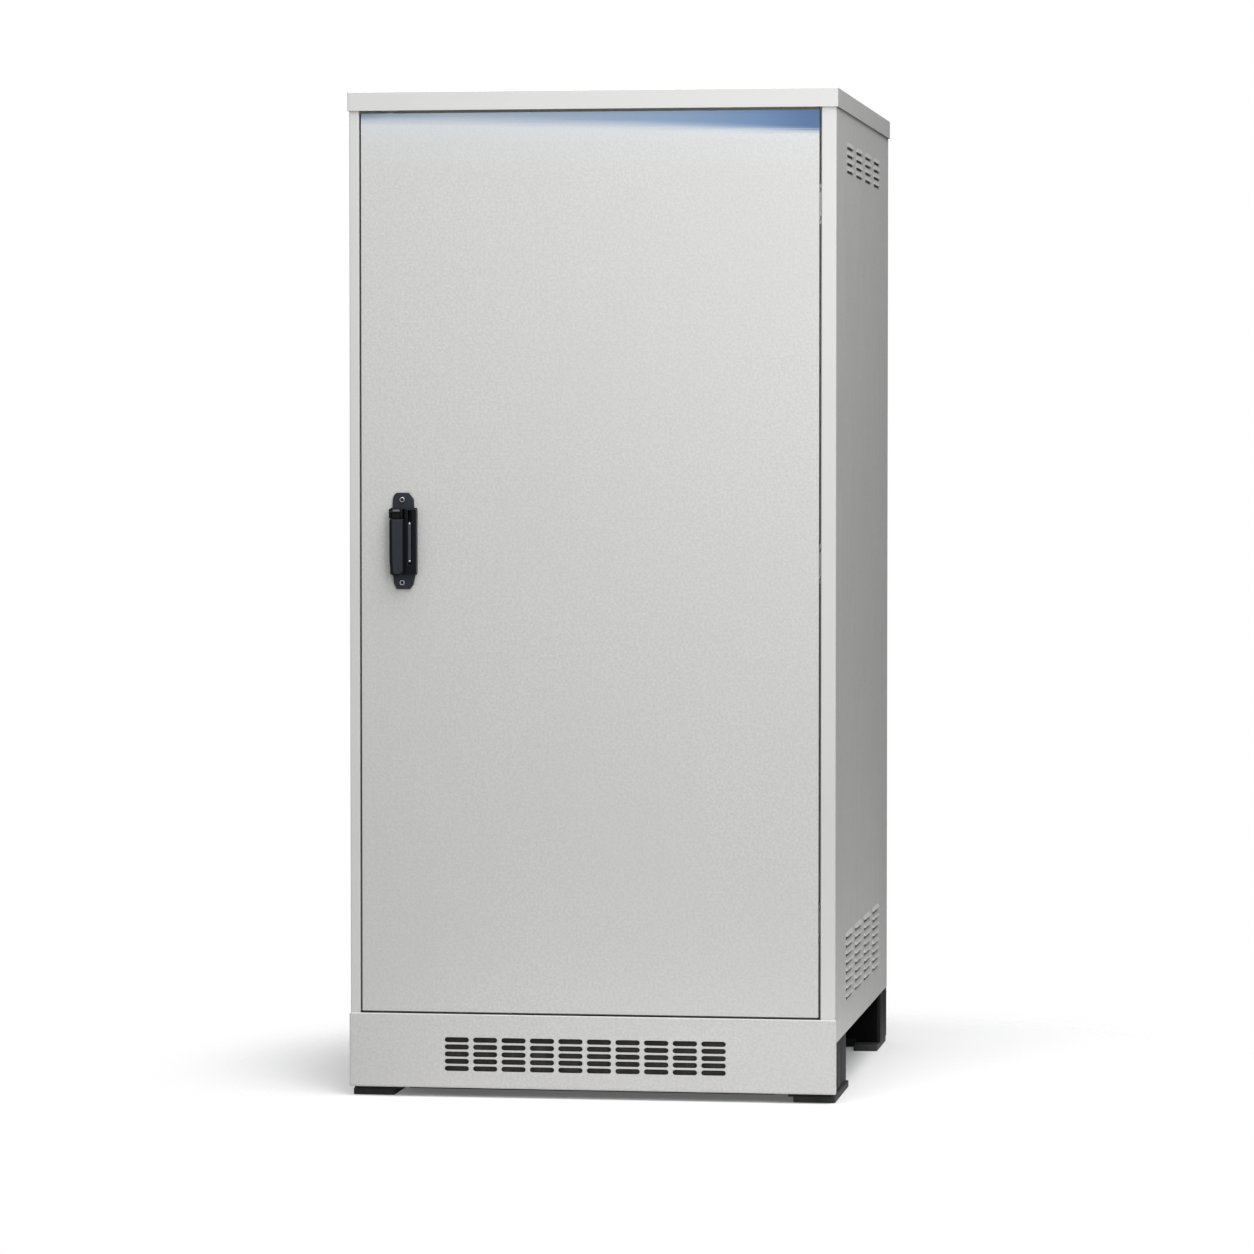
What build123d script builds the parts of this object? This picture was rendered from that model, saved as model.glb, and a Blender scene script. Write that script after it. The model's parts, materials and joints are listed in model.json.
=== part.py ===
from build123d import *
import os
from math import cos, radians, sin

# Floor-standing battery cabinet. Millimetres, +Z up, front face towards -Y, X to the right.
# The origin is on the floor, at the centre of the whole object's footprint.

# ---- driving dimensions ----
width = 900.0
depth = 1000.0
height = 1850.0
sheet = 1.5  # covers
plate = 3.0  # base and shelves
cap_height = 35.0
cap_overhang = 3.0
handle_reach = 31.0  # how far the lever stands out of the door's face
screw_head = 3.0
front_y = (handle_reach - cap_overhang - screw_head - depth) / 2
back_y = front_y + depth
half_width = width / 2

# base
pad_height = 12.0
kick_bottom = 17.4
side_bottom = 110.0
base_top = 152.0
floor_top = base_top + 2.0
leg_x = 443.0  # outer face of the legs
front_leg_width = 80.0
rear_leg_width = 42.0
front_beam_back = 260.0  # from the front face
rear_beam_front = 865.0

# frame
rebate = 29.0  # depth of the door rebate
post_depth = 40.0
post_width = 58.5
tube_wall = 2.0
frame_x = half_width - sheet
cap_bottom = height - cap_height
frame_top = height - sheet
header_bottom = 1775.0
rail_bottom = 1806.0
strip_left = 18.5  # front strips beside the door
strip_right = 27.5

# door
door_left = -428.0
door_right = 418.5
door_bottom = 157.7
door_top = 1810.0
door_sheet = 2.0
door_depth = 24.0
door_lip = 15.0
gasket_width = 10.0
pin_inset = 6.0  # hinge axis from the door's right edge
pin_depth = 7.0  # hinge axis behind the door's face
hinge_x = door_right - pin_inset
hinge_y = front_y + pin_depth
hinge_heights = (330.0, 985.0, 1640.0)
knuckle_r = 4.8
hinge_pin_r = 3.0
running = 0.05  # radial clearance of a running fit
free = 0.3  # gap between pieces that move past each other

# handle and lock
lever_x = -359.5
hub_z = 1073.0
lever_pivot_z = 1079.0
crank_r = 18.0
crank_pin_r = 3.0
rod_offset = 16.0
rod_width = 14.0
rod_front = front_y + 14
rod_back = rod_front + 4
keeper_half = 10.0

# batteries
levels = 4
level_pitch = 340.0
first_level = 205.0
block = (173.0, 330.0, 212.0)  # width, length, height
block_gap = 12.0
row_gap = 15.0
blocks_across = 4
battery_front = front_y + 182.5
terminal_x = 62.0
terminal_y = 130.0
terminal_height = 8.0
cable_r = 6.0
screw_r = 3.0

os.makedirs("parts", exist_ok=True)


# ---- helpers ----
def slab(x0, x1, y0, y1, z0, z1, mode=Mode.ADD):
    """A block between two corners, joined to the part being built."""
    centre = ((x0 + x1) / 2, (y0 + y1) / 2, (z0 + z1) / 2)
    with Locations(centre):
        Box(abs(x1 - x0), abs(y1 - y0), abs(z1 - z0), mode=mode)


def along_y(x, y0, y1, z, radius, mode=Mode.ADD):
    """A cylinder that lies along Y."""
    with Locations(Location((x, (y0 + y1) / 2, z), (90, 0, 0))):
        Cylinder(radius, abs(y1 - y0), mode=mode)


def along_x(x0, x1, y, z, radius, mode=Mode.ADD):
    """A cylinder that lies along X."""
    with Locations(Location(((x0 + x1) / 2, y, z), (0, 90, 0))):
        Cylinder(radius, abs(x1 - x0), mode=mode)


def along_z(x, y, z0, z1, radius, mode=Mode.ADD):
    """An upright cylinder."""
    with Locations((x, y, (z0 + z1) / 2)):
        Cylinder(radius, abs(z1 - z0), mode=mode)


def save(builder, name):
    """Label a finished piece and write it."""
    builder.part.label = name
    export_step(builder.part, "parts/" + name + ".step")


# ---- base ----
anchor_r = 7.0
anchor_x = 418.0
foot_bolt_r = 5.0
bolt_seat = 4.0  # how low the foot bolts reach into the pads


def foot_holes(x, ys, low, anchor_y, anchor_low):
    """Holes of the pad bolts, from low up, and the anchor hole, left and right."""
    for side in (-1, 1):
        for y in ys:
            along_z(side * x, y, low, 30, foot_bolt_r, mode=Mode.SUBTRACT)
        along_z(side * anchor_x, anchor_y, anchor_low, 30, anchor_r, mode=Mode.SUBTRACT)


front_foot_x = leg_x - front_leg_width / 2
rear_foot_x = leg_x - rear_leg_width / 2
front_foot_y = (front_y + 15, front_y + 260)
rear_foot_y = (front_y + 815, back_y)
front_anchor_y = front_y + 140
rear_anchor_y = front_y + 930
front_bolt_ys = (front_y + 50, front_y + 230)
rear_bolt_ys = (front_y + 890, front_y + 970)
beam_bottom = kick_bottom + sheet
kick_screw_xs = (-250, 0, 250)
kick_screw_y = front_y + 16
duct_slot = (190.0, 60.0)  # air passages from the base up into the cabinet
duct_pitch = 240.0
duct_y = front_y + 150
front_beam_end = front_y + front_beam_back
rear_beam_start = front_y + rear_beam_front
rear_beam_end = back_y - 2 * sheet - 0.5


def duct_holes(low, amount):
    """The air passages, cut through what lies from low up."""
    with BuildSketch(Plane.XY.offset(low)) as ducts:
        with Locations((0, duct_y)):
            with GridLocations(duct_pitch, 1, 3, 1):
                SlotOverall(duct_slot[0], duct_slot[1])
    extrude(ducts.sketch, amount=amount, mode=Mode.SUBTRACT)


with BuildPart() as base_front_beam:
    slab(-leg_x, leg_x, front_y + sheet, front_beam_end, beam_bottom, beam_bottom + plate)
    slab(-leg_x, leg_x, front_y + sheet, front_beam_end, base_top - plate, base_top)
    slab(-leg_x, leg_x, front_beam_end - plate, front_beam_end, beam_bottom, base_top)
    for side in (-1, 1):
        slab(
            side * (leg_x - plate), side * leg_x,
            front_y + sheet, front_beam_end, pad_height, base_top,
        )
        slab(
            side * (leg_x - front_leg_width), side * leg_x,
            front_y + 3, front_beam_end, pad_height, beam_bottom,
        )
    duct_holes(base_top - 2 * plate, 3 * plate)
    # keeper hole of the lower lock rod
    slab(
        lever_x + rod_offset - keeper_half, lever_x + rod_offset + keeper_half,
        rod_front - 5, rod_back + 5, base_top - 2 * plate, base_top + 1, mode=Mode.SUBTRACT,
    )
    foot_holes(front_foot_x, front_bolt_ys, 0, front_anchor_y, 0)
    for x in kick_screw_xs:
        along_z(x, kick_screw_y, kick_bottom, beam_bottom + 2 * plate, screw_r, mode=Mode.SUBTRACT)
save(base_front_beam, "base_front_beam")

with BuildPart() as base_rear_beam:
    # a channel that is open to the rear
    slab(-leg_x, leg_x, rear_beam_start, rear_beam_end, beam_bottom, base_top)
    slab(
        -leg_x + plate, leg_x - plate, rear_beam_start + plate, rear_beam_end + 1,
        beam_bottom + plate, base_top - plate, mode=Mode.SUBTRACT,
    )
    for side in (-1, 1):
        slab(
            side * (leg_x - rear_leg_width), side * leg_x,
            rear_beam_start, rear_beam_end, pad_height, beam_bottom,
        )
    foot_holes(rear_foot_x, rear_bolt_ys, 0, rear_anchor_y, 0)
save(base_rear_beam, "base_rear_beam")

with BuildPart() as base_side_rails:
    slab(
        leg_x - post_depth, leg_x, front_beam_end, rear_beam_start,
        base_top - post_depth, base_top,
    )
    slab(
        leg_x - post_depth + plate, leg_x - plate, front_beam_end, rear_beam_start,
        base_top - post_depth + plate, base_top - plate, mode=Mode.SUBTRACT,
    )
    mirror(about=Plane.YZ)
save(base_side_rails, "base_side_rails")

with BuildPart() as front_foot_pads:
    slab(leg_x - front_leg_width + 8, leg_x + 5, front_foot_y[0], front_foot_y[1], 0, pad_height)
    fillet(front_foot_pads.edges().filter_by(Axis.Z), 3)
    mirror(about=Plane.YZ)
    foot_holes(front_foot_x, front_bolt_ys, bolt_seat, front_anchor_y, -1)
save(front_foot_pads, "front_foot_pads")

with BuildPart() as rear_foot_pads:
    slab(leg_x - rear_leg_width, leg_x + 5, rear_foot_y[0], rear_foot_y[1], 0, pad_height)
    fillet(rear_foot_pads.edges().filter_by(Axis.Z), 3)
    mirror(about=Plane.YZ)
    foot_holes(rear_foot_x, rear_bolt_ys, bolt_seat, rear_anchor_y, -1)
save(rear_foot_pads, "rear_foot_pads")

# Bolts stand in blind holes of the pads, with their heads on the beams' floors.
with BuildPart() as foot_bolts:
    seats = [(front_foot_x, y) for y in front_bolt_ys] + [(rear_foot_x, y) for y in rear_bolt_ys]
    head_z = beam_bottom + plate
    for x, y in seats:
        for side in (-1, 1):
            along_z(side * x, y, bolt_seat, head_z + 1, foot_bolt_r)
            with BuildSketch(Plane.XY.offset(head_z)):
                with Locations((side * x, y)):
                    RegularPolygon(9, 6)
            extrude(amount=6.5)
save(foot_bolts, "foot_bolts")

# ---- kick plate ----
kick_front = front_y - 3
slot_pitch = (53.0, 13.25)
slot_size = (45.5, 9.5)
slot_count = (10, 5)
slot_field = (-12.0, 80.0)  # centre of the slots

with BuildPart() as kick_plate:
    slab(-half_width - 2, half_width + 2, kick_front, front_y, kick_bottom, floor_top)
    slab(
        -half_width - 0.5, half_width + 0.5, kick_front + sheet, front_y + 1,
        kick_bottom + sheet, floor_top - sheet, mode=Mode.SUBTRACT,
    )
    slab(-340, 340, front_y - 1, front_y + 28, kick_bottom, beam_bottom)
    with BuildSketch(Plane.XZ.offset(-kick_front + 1)):
        with Locations(slot_field):
            with GridLocations(*slot_pitch, *slot_count):
                SlotOverall(*slot_size)
    extrude(amount=-2 * plate, mode=Mode.SUBTRACT)
    for x in kick_screw_xs:
        along_z(x, kick_screw_y, kick_bottom - 1, beam_bottom + 1, screw_r, mode=Mode.SUBTRACT)
    fillet(kick_plate.edges().filter_by(Axis.Z).group_by(Axis.Y)[0], 1.2)
save(kick_plate, "kick_plate")

# ---- floor ----
gland_area = (0.0, front_y + 640)
gland_opening = (360.0, 120.0)
gland_xs = [-120.0, -40.0, 40.0, 120.0]
gland_r = 16.0
gland_nut_r = 22.0  # over the corners

with BuildPart() as floor_plate:
    slab(-frame_x, frame_x, front_y + rebate, rear_beam_end, base_top, floor_top)
    slab(
        gland_area[0] - gland_opening[0] / 2, gland_area[0] + gland_opening[0] / 2,
        gland_area[1] - gland_opening[1] / 2, gland_area[1] + gland_opening[1] / 2,
        base_top - 1, floor_top + 1, mode=Mode.SUBTRACT,
    )
    duct_holes(base_top - 1, 2 * plate)
save(floor_plate, "floor_plate")

with BuildPart() as gland_plate:
    with BuildSketch(Plane.XY.offset(floor_top)):
        with Locations(gland_area):
            RectangleRounded(gland_opening[0] + 40, gland_opening[1] + 40, 6)
            with Locations(*[(x, 0) for x in gland_xs]):
                Circle(gland_r, mode=Mode.SUBTRACT)
    extrude(amount=2)
save(gland_plate, "gland_plate")

# Blanked glands: a flanged body, a nut below and a domed cap above.
with BuildPart() as cable_glands:
    for x in gland_xs:
        along_z(x, gland_area[1], floor_top - 12, floor_top + 12, gland_r)
        with BuildSketch(Plane.XY.offset(floor_top + 2)):
            with Locations((x, gland_area[1])):
                RegularPolygon(gland_nut_r, 6)
        extrude(amount=7)
        with BuildSketch(Plane.XY.offset(floor_top - 8)):
            with Locations((x, gland_area[1])):
                RegularPolygon(gland_nut_r, 6)
        extrude(amount=6)
        along_z(x, gland_area[1], floor_top + 9, floor_top + 24, gland_r + 2)
    fillet(cable_glands.faces().filter_by(Axis.Z).group_by(Axis.Z)[-1].edges(), 5)
save(cable_glands, "cable_glands")

with BuildPart() as earth_bar:
    bar_y = front_y + 780
    slab(-150, 150, bar_y, bar_y + 25, floor_top + 8, floor_top + 13)
    for x in (-145, 145):
        slab(x - 5, x + 5, bar_y, bar_y + 25, floor_top, floor_top + 8)
    with BuildSketch(Plane.XY.offset(floor_top + 7)):
        with Locations((0, bar_y + 12.5)):
            with GridLocations(30, 1, 9, 1):
                Circle(4)
    extrude(amount=8, mode=Mode.SUBTRACT)
save(earth_bar, "earth_bar")


# ---- frame ----
def post(x0, x1, y0, y1, z0, z1):
    """An upright square tube."""
    slab(x0, x1, y0, y1, z0, z1)
    slab(x0 + tube_wall, x1 - tube_wall, y0 + tube_wall, y1 - tube_wall, z0, z1, mode=Mode.SUBTRACT)


post_front = front_y + rebate
post_back = post_front + post_depth
rear_post_front = rear_beam_end - post_depth
post_inner = frame_x - post_width
rear_screw_x = half_width - 22
rear_screw_zs = [180, 490, 800, 1110, 1420, 1730]
hinge_screw_x = hinge_x + 3
hinge_screw_rise = 26.0
hinge_screw_r = 2.5
cap_screw_xs = (-300, 0, 300)
cap_screw_z = cap_bottom + 17

front_posts = {}
rear_posts = {}
for side, end in ((-1, "left"), (1, "right")):
    near, far = sorted((side * post_inner, side * frame_x))
    with BuildPart() as front_posts[end]:
        post(near, far, post_front, post_back, floor_top, frame_top)
        if side > 0:
            for z in hinge_heights:
                for rise in (-hinge_screw_rise, hinge_screw_rise):
                    along_y(
                        hinge_screw_x, post_front - 1, post_front + 6, z + rise, hinge_screw_r,
                        mode=Mode.SUBTRACT,
                    )
    with BuildPart() as rear_posts[end]:
        post(near, far, rear_post_front, rear_beam_end, floor_top, frame_top)
        for z in rear_screw_zs:
            along_y(
                side * rear_screw_x, rear_beam_end - 5, rear_beam_end + 1, z, screw_r,
                mode=Mode.SUBTRACT,
            )
    save(front_posts[end], "front_post_" + end)
    save(rear_posts[end], "rear_post_" + end)

with BuildPart() as header_rail:
    slab(-post_inner, post_inner, post_front, post_back, header_bottom, frame_top)
    slab(
        -post_inner, post_inner, post_front + tube_wall, post_back - tube_wall,
        header_bottom + tube_wall, frame_top - tube_wall, mode=Mode.SUBTRACT,
    )
    # keeper of the upper lock rod
    keeper_x = lever_x - rod_offset
    slab(keeper_x - 15, keeper_x + 15, front_y + 8, post_front, cap_bottom + 8, cap_bottom + 11)
    slab(keeper_x - 15, keeper_x + 15, front_y + 8, front_y + 11, cap_bottom - 1, cap_bottom + 11)
save(header_rail, "header_rail")

with BuildPart() as door_sill:
    slab(-post_inner, post_inner, post_front, post_front + 3, floor_top, floor_top + 45)
    slab(-post_inner, post_inner, post_front, post_back, floor_top, floor_top + 3)
    slab(-post_inner, post_inner, post_front, post_front + 15, floor_top + 42, floor_top + 45)
save(door_sill, "door_sill")

with BuildPart() as top_side_rails:
    slab(frame_x - post_depth, frame_x, post_back, rear_post_front, rail_bottom, frame_top)
    slab(
        frame_x - post_depth + tube_wall, frame_x - tube_wall, post_back, rear_post_front,
        rail_bottom + tube_wall, frame_top - tube_wall, mode=Mode.SUBTRACT,
    )
    mirror(about=Plane.YZ)
save(top_side_rails, "top_side_rails")

with BuildPart() as top_rear_rail:
    slab(-post_inner, post_inner, rear_post_front, rear_beam_end, rail_bottom, frame_top)
    slab(
        -post_inner, post_inner, rear_post_front + tube_wall, rear_beam_end - tube_wall,
        rail_bottom + tube_wall, frame_top - tube_wall, mode=Mode.SUBTRACT,
    )
    for x in cap_screw_xs:
        along_y(x, rear_beam_end - 5, rear_beam_end + 1, cap_screw_z, screw_r, mode=Mode.SUBTRACT)
save(top_rear_rail, "top_rear_rail")

# ---- covers ----
louvre_length = 115.0
louvre_pitch_y = 170.0
louvre_columns = 4
louvre_reach = 5.5
louvre_rise = 9.5
louvre_wall = 1.2
top_louvres = (4, 1730.0, 14.6)  # rows, centre height, pitch
bottom_louvres = (8, 229.0, 16.0)
side_top = cap_bottom + 25


def row_heights(group):
    """Heights of a group's louvre mouths, from the lowest row up."""
    rows, centre, pitch = group
    return [centre + (row - (rows - 1) / 2) * pitch - louvre_rise / 2 for row in range(rows)]


def louvre_profile(side, z, grow):
    """The hood's outline, or the air passage inside it where grow is the wall."""
    face = side * half_width
    root = side * (half_width - sheet - grow)
    tip = side * (half_width + louvre_reach - grow)
    low = z - grow / 4
    points = [
        (root, low),
        (tip, low),
        (tip, z + 1.5 - grow / 2),
        (face, z + louvre_rise - 1.6 * grow),
        (root, z + louvre_rise - 1.6 * grow),
    ]
    return points if side > 0 else points[::-1]


def side_panel(side, strip):
    """A side panel with its front strip, rear return and pressed louvres."""
    outer = side * half_width
    inner = side * frame_x
    edge = side * (half_width - strip)
    slab(inner, outer, front_y, back_y - sheet, side_bottom, side_top)
    slab(edge, outer, front_y, front_y + sheet, side_bottom, side_top)
    slab(edge, edge + side * sheet, front_y, post_front, floor_top + 0.5, side_top)
    slab(outer - side * 30, outer, rear_beam_end, back_y - sheet, side_bottom, side_top)
    for z in rear_screw_zs:
        along_y(side * rear_screw_x, rear_beam_end - 1, back_y, z, screw_r, mode=Mode.SUBTRACT)
    mouths = row_heights(top_louvres) + row_heights(bottom_louvres)
    for column in range(louvre_columns):
        centre = front_y + depth / 2 + (column - (louvre_columns - 1) / 2) * louvre_pitch_y
        for grow, kind in ((0.0, Mode.ADD), (louvre_wall, Mode.SUBTRACT)):
            length = louvre_length - 2 * grow
            with BuildSketch(Plane.XZ.offset(-centre - length / 2)) as profiles:
                for z in mouths:
                    Polygon(*louvre_profile(side, z, grow), align=None)
            extrude(profiles.sketch, amount=length, mode=kind)


with BuildPart() as side_panel_left:
    side_panel(-1, strip_left)
save(side_panel_left, "side_panel_left")

with BuildPart() as side_panel_right:
    side_panel(1, strip_right)
save(side_panel_right, "side_panel_right")

with BuildPart() as rear_panel:
    slab(-half_width + 2, half_width - 2, back_y - sheet, back_y, side_bottom, side_top)
    for z in rear_screw_zs:
        for side in (-1, 1):
            along_y(side * rear_screw_x, back_y - 3, back_y + 1, z, screw_r, mode=Mode.SUBTRACT)
    for x in cap_screw_xs:
        along_y(x, back_y - 3, back_y + 1, cap_screw_z, screw_r, mode=Mode.SUBTRACT)
save(rear_panel, "rear_panel")

cap_x = half_width + cap_overhang
cap_front = front_y - cap_overhang
cap_back = back_y + cap_overhang
with BuildPart() as top_cap:
    slab(-cap_x, cap_x, cap_front, cap_back, cap_bottom, height)
    fillet(top_cap.edges().filter_by(Axis.Z), 3)
    fillet(top_cap.faces().sort_by(Axis.Z)[-1].edges(), 2)
    slab(
        -cap_x + sheet, cap_x - sheet, cap_front + sheet, cap_back - sheet,
        cap_bottom, height - sheet, mode=Mode.SUBTRACT,
    )
    for x in cap_screw_xs:
        along_y(x, cap_back - 3, cap_back + 1, cap_screw_z, screw_r, mode=Mode.SUBTRACT)
save(top_cap, "top_cap")

# One kind of pan-head screw holds the rear panel, the cap's rear skirt and the kick plate.
screw_length = 12.0
head_r = 6.0
with BuildPart() as cover_screws:
    for z in rear_screw_zs:
        for side in (-1, 1):
            along_y(side * rear_screw_x, back_y - screw_length, back_y + 0.5, z, screw_r)
            along_y(side * rear_screw_x, back_y, back_y + screw_head, z, head_r)
    for x in cap_screw_xs:
        along_y(x, cap_back - screw_length, cap_back + 0.5, cap_screw_z, screw_r)
        along_y(x, cap_back, cap_back + screw_head, cap_screw_z, head_r)
    for x in kick_screw_xs:
        along_z(x, kick_screw_y, kick_bottom - 0.5, kick_bottom + screw_length / 2, screw_r)
        along_z(x, kick_screw_y, kick_bottom - screw_head, kick_bottom, head_r)
save(cover_screws, "cover_screws")

# ---- door ----
notch = 40.0  # half height of the opening for a hinge bracket in the door's edge
lock_hole_r = 10.0

with BuildPart() as door_panel:
    slab(door_left, door_right, front_y, front_y + door_depth, door_bottom, door_top)
    slab(
        door_left + door_sheet, door_right - door_sheet,
        front_y + door_sheet, front_y + door_depth - door_sheet,
        door_bottom + door_sheet, door_top - door_sheet, mode=Mode.SUBTRACT,
    )
    slab(
        door_left + door_lip, door_right - door_lip - 14,
        front_y + door_depth - 3, front_y + door_depth + 1,
        door_bottom + door_lip, door_top - door_lip, mode=Mode.SUBTRACT,
    )
    for z in hinge_heights:
        slab(
            door_right - 14, door_right + 1, front_y + door_sheet,
            front_y + door_depth + 1, z - notch, z + notch, mode=Mode.SUBTRACT,
        )
    along_y(lever_x, front_y - 1, front_y + 3, hub_z, lock_hole_r, mode=Mode.SUBTRACT)
    for z in (door_bottom, door_top):
        for offset in (-rod_offset, rod_offset):
            slab(
                lever_x + offset - 9, lever_x + offset + 9,
                front_y + 12, front_y + 20, z - 3, z + 3, mode=Mode.SUBTRACT,
            )
save(door_panel, "door_panel")

stiffeners = {"left": -160.0, "right": 170.0}
stiffener_low = 190.0
stiffener_high = 1778.0
stiffener_half = 19.5  # of the hat's crown
stiffener_flange = 30.0  # out to the flanges' edges
stiffener_rise = 18.0
for end, x in stiffeners.items():
    with BuildPart() as stiffener:
        inner = front_y + door_sheet
        crown = inner + stiffener_rise
        for edge in (-1, 1):
            wall = (x + edge * (stiffener_half - sheet), x + edge * stiffener_half)
            slab(
                wall[0], x + edge * stiffener_flange, inner, inner + sheet,
                stiffener_low, stiffener_high,
            )
            slab(*wall, inner, crown, stiffener_low, stiffener_high)
        slab(
            x - stiffener_half, x + stiffener_half, crown - sheet, crown,
            stiffener_low, stiffener_high,
        )
    save(stiffener, "door_stiffener_" + end)

# Gasket on the door's inner lips, clear of the hinge brackets.
gasket_left = door_left + 3
gasket_right = door_right - 16.5
with BuildPart() as door_gasket:
    back = front_y + door_depth
    slab(gasket_left, gasket_right, back, front_y + rebate - free, door_bottom + 3, door_top - 3)
    slab(
        gasket_left + gasket_width, gasket_right - gasket_width, back - 1, front_y + rebate + 1,
        door_bottom + 3 + gasket_width, door_top - 3 - gasket_width, mode=Mode.SUBTRACT,
    )
save(door_gasket, "door_gasket")

# ---- hinges ----
knuckle_gap = 0.4
frame_knuckle = 14.0  # half height of the knuckle on the frame
leaf_top = 36.0

with BuildPart() as hinge_leaves:
    for z in hinge_heights:
        slab(
            hinge_x - 52, hinge_x, front_y + door_sheet, hinge_y - hinge_pin_r + 1,
            z - leaf_top, z + leaf_top,
        )
        slab(
            hinge_x - 8, hinge_x + 10, front_y, hinge_y + 8,
            z - frame_knuckle - knuckle_gap, z + frame_knuckle + knuckle_gap, mode=Mode.SUBTRACT,
        )
        for low, high in (
            (z - leaf_top, z - frame_knuckle - knuckle_gap),
            (z + frame_knuckle + knuckle_gap, z + leaf_top),
        ):
            along_z(hinge_x, hinge_y, low, high, knuckle_r)
        along_z(
            hinge_x, hinge_y, z - leaf_top - 1, z + leaf_top + 1, hinge_pin_r + running,
            mode=Mode.SUBTRACT,
        )
save(hinge_leaves, "hinge_leaves")

with BuildPart() as hinge_brackets:
    for z in hinge_heights:
        along_z(hinge_x, hinge_y, z - frame_knuckle, z + frame_knuckle, knuckle_r)
        slab(
            hinge_x - knuckle_r, hinge_x - 0.8, hinge_y, post_front,
            z - frame_knuckle, z + frame_knuckle,
        )
        slab(
            hinge_x - knuckle_r, half_width - strip_right - free, post_front - 3, post_front,
            z - leaf_top, z + leaf_top,
        )
        along_z(
            hinge_x, hinge_y, z - frame_knuckle - 1, z + frame_knuckle + 1, hinge_pin_r,
            mode=Mode.SUBTRACT,
        )
        for rise in (-hinge_screw_rise, hinge_screw_rise):
            along_y(
                hinge_screw_x, post_front - 4, post_front + 1, z + rise, hinge_screw_r,
                mode=Mode.SUBTRACT,
            )
save(hinge_brackets, "hinge_brackets")

with BuildPart() as hinge_pins:
    for z in hinge_heights:
        along_z(hinge_x, hinge_y, z - leaf_top, z + leaf_top + 2, hinge_pin_r)
save(hinge_pins, "hinge_pins")

with BuildPart() as hinge_screws:
    for z in hinge_heights:
        for rise in (-hinge_screw_rise, hinge_screw_rise):
            along_y(hinge_screw_x, post_front - 3.5, post_front + 6, z + rise, hinge_screw_r)
            along_y(hinge_screw_x, post_front - 5.5, post_front - 3, z + rise, 4.2)
save(hinge_screws, "hinge_screws")

# ---- handle ----
base_low = 963.5
base_high = 1086.5
dish_depth = 8.0  # left part, under the lever
ridge_depth = 15.0
ridge_left = -345.5
ridge_right = -323.0
base_left = -373.5
handle_screw_x = -350.5
handle_screw_zs = (1101.5, 949.0)
handle_screw_r = 2.5
slot_x = -336.4
slot_low = 983.0
slot_high = 1081.5
slide_low = 986.0
slide_high = 1060.5
slide_width = 5.2
spindle_r = 7.0

with BuildPart() as handle_base:
    with BuildSketch(Plane.XZ.offset(-front_y)):
        with Locations(((base_left + ridge_right) / 2, (base_low + base_high) / 2)):
            RectangleRounded(ridge_right - base_left, base_high - base_low, 3)
    extrude(amount=dish_depth)
    # top and bottom tabs
    with BuildSketch(Plane.XZ.offset(-front_y)) as tabs:
        with BuildLine():
            Polyline(
                (-369.5, base_high - 4), (-369.5, 1092), (-365.5, 1106), (-361, 1114.5),
                (-338, 1114.5), (-331.5, 1106), (-328, 1095), (-328, base_high - 4), close=True,
            )
        make_face()
        with BuildLine():
            Polyline(
                (-366.5, base_low + 4), (-366.5, 953), (-362.5, 940), (-359, 937.2),
                (-338, 937.2), (-332, 944), (-327, 953), (-327, base_low + 4), close=True,
            )
        make_face()
        fillet(tabs.vertices(), 1.5)
    extrude(amount=5)
    slab(ridge_left, ridge_right, front_y - ridge_depth, front_y, base_low + 2, base_high - 2)
    fillet(handle_base.faces().sort_by(Axis.Y)[0].edges(), 1.5)
    # slot of the lock slide, wider at its back
    slab(
        slot_x - slide_width / 2 - free, slot_x + slide_width / 2 + free,
        front_y - ridge_depth - 1, front_y - 4, slot_low, slot_high, mode=Mode.SUBTRACT,
    )
    slab(
        slot_x - 5 - free, slot_x + 5 + free, front_y - 8 - free, front_y - 4, slot_low, slot_high,
        mode=Mode.SUBTRACT,
    )
    along_y(lever_x, front_y - dish_depth - 1, front_y + 1, hub_z, spindle_r + running, mode=Mode.SUBTRACT)
    for z in handle_screw_zs:
        along_y(handle_screw_x, front_y - 6, front_y + 1, z, handle_screw_r, mode=Mode.SUBTRACT)
save(handle_base, "handle_base")

with BuildPart() as handle_screws:
    for z in handle_screw_zs:
        along_y(handle_screw_x, front_y - 5.5, front_y, z, handle_screw_r)
        along_y(handle_screw_x, front_y - 8, front_y - 5, z, 2 * handle_screw_r)
        with BuildSketch(Plane.XZ.offset(-front_y + 8)):
            with Locations((handle_screw_x, z)):
                RegularPolygon(2.2, 6)
        extrude(amount=-1.8, mode=Mode.SUBTRACT)
save(handle_screws, "handle_screws")

hub_face = front_y - dish_depth - free
ear_out = 12.2
ear_in = 8.6
lever_back = front_y - ridge_depth - 1.4
lever_front = front_y - handle_reach
lever_pivot_y = front_y - 24.0
lever_pin_r = 2.2
lever_half = 13.3
disc_front = front_y + 7
disc_back = front_y + 11

with BuildPart() as handle_hub:
    along_y(lever_x, hub_face - 6, hub_face, hub_z, 13)
    along_y(lever_x, hub_face, disc_front, hub_z, spindle_r)
    slab(
        lever_x - 4, lever_x + 4, disc_front - 1, disc_back + 2, hub_z - 4, hub_z + 4,
    )
    for side in (-1, 1):
        slab(
            lever_x + side * ear_in, lever_x + side * ear_out,
            lever_pivot_y - 5, hub_face - 4, lever_pivot_z - 6.5, lever_pivot_z + 5,
        )
    along_x(lever_x - 14, lever_x + 14, lever_pivot_y, lever_pivot_z, lever_pin_r, mode=Mode.SUBTRACT)
save(handle_hub, "handle_hub")

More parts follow.
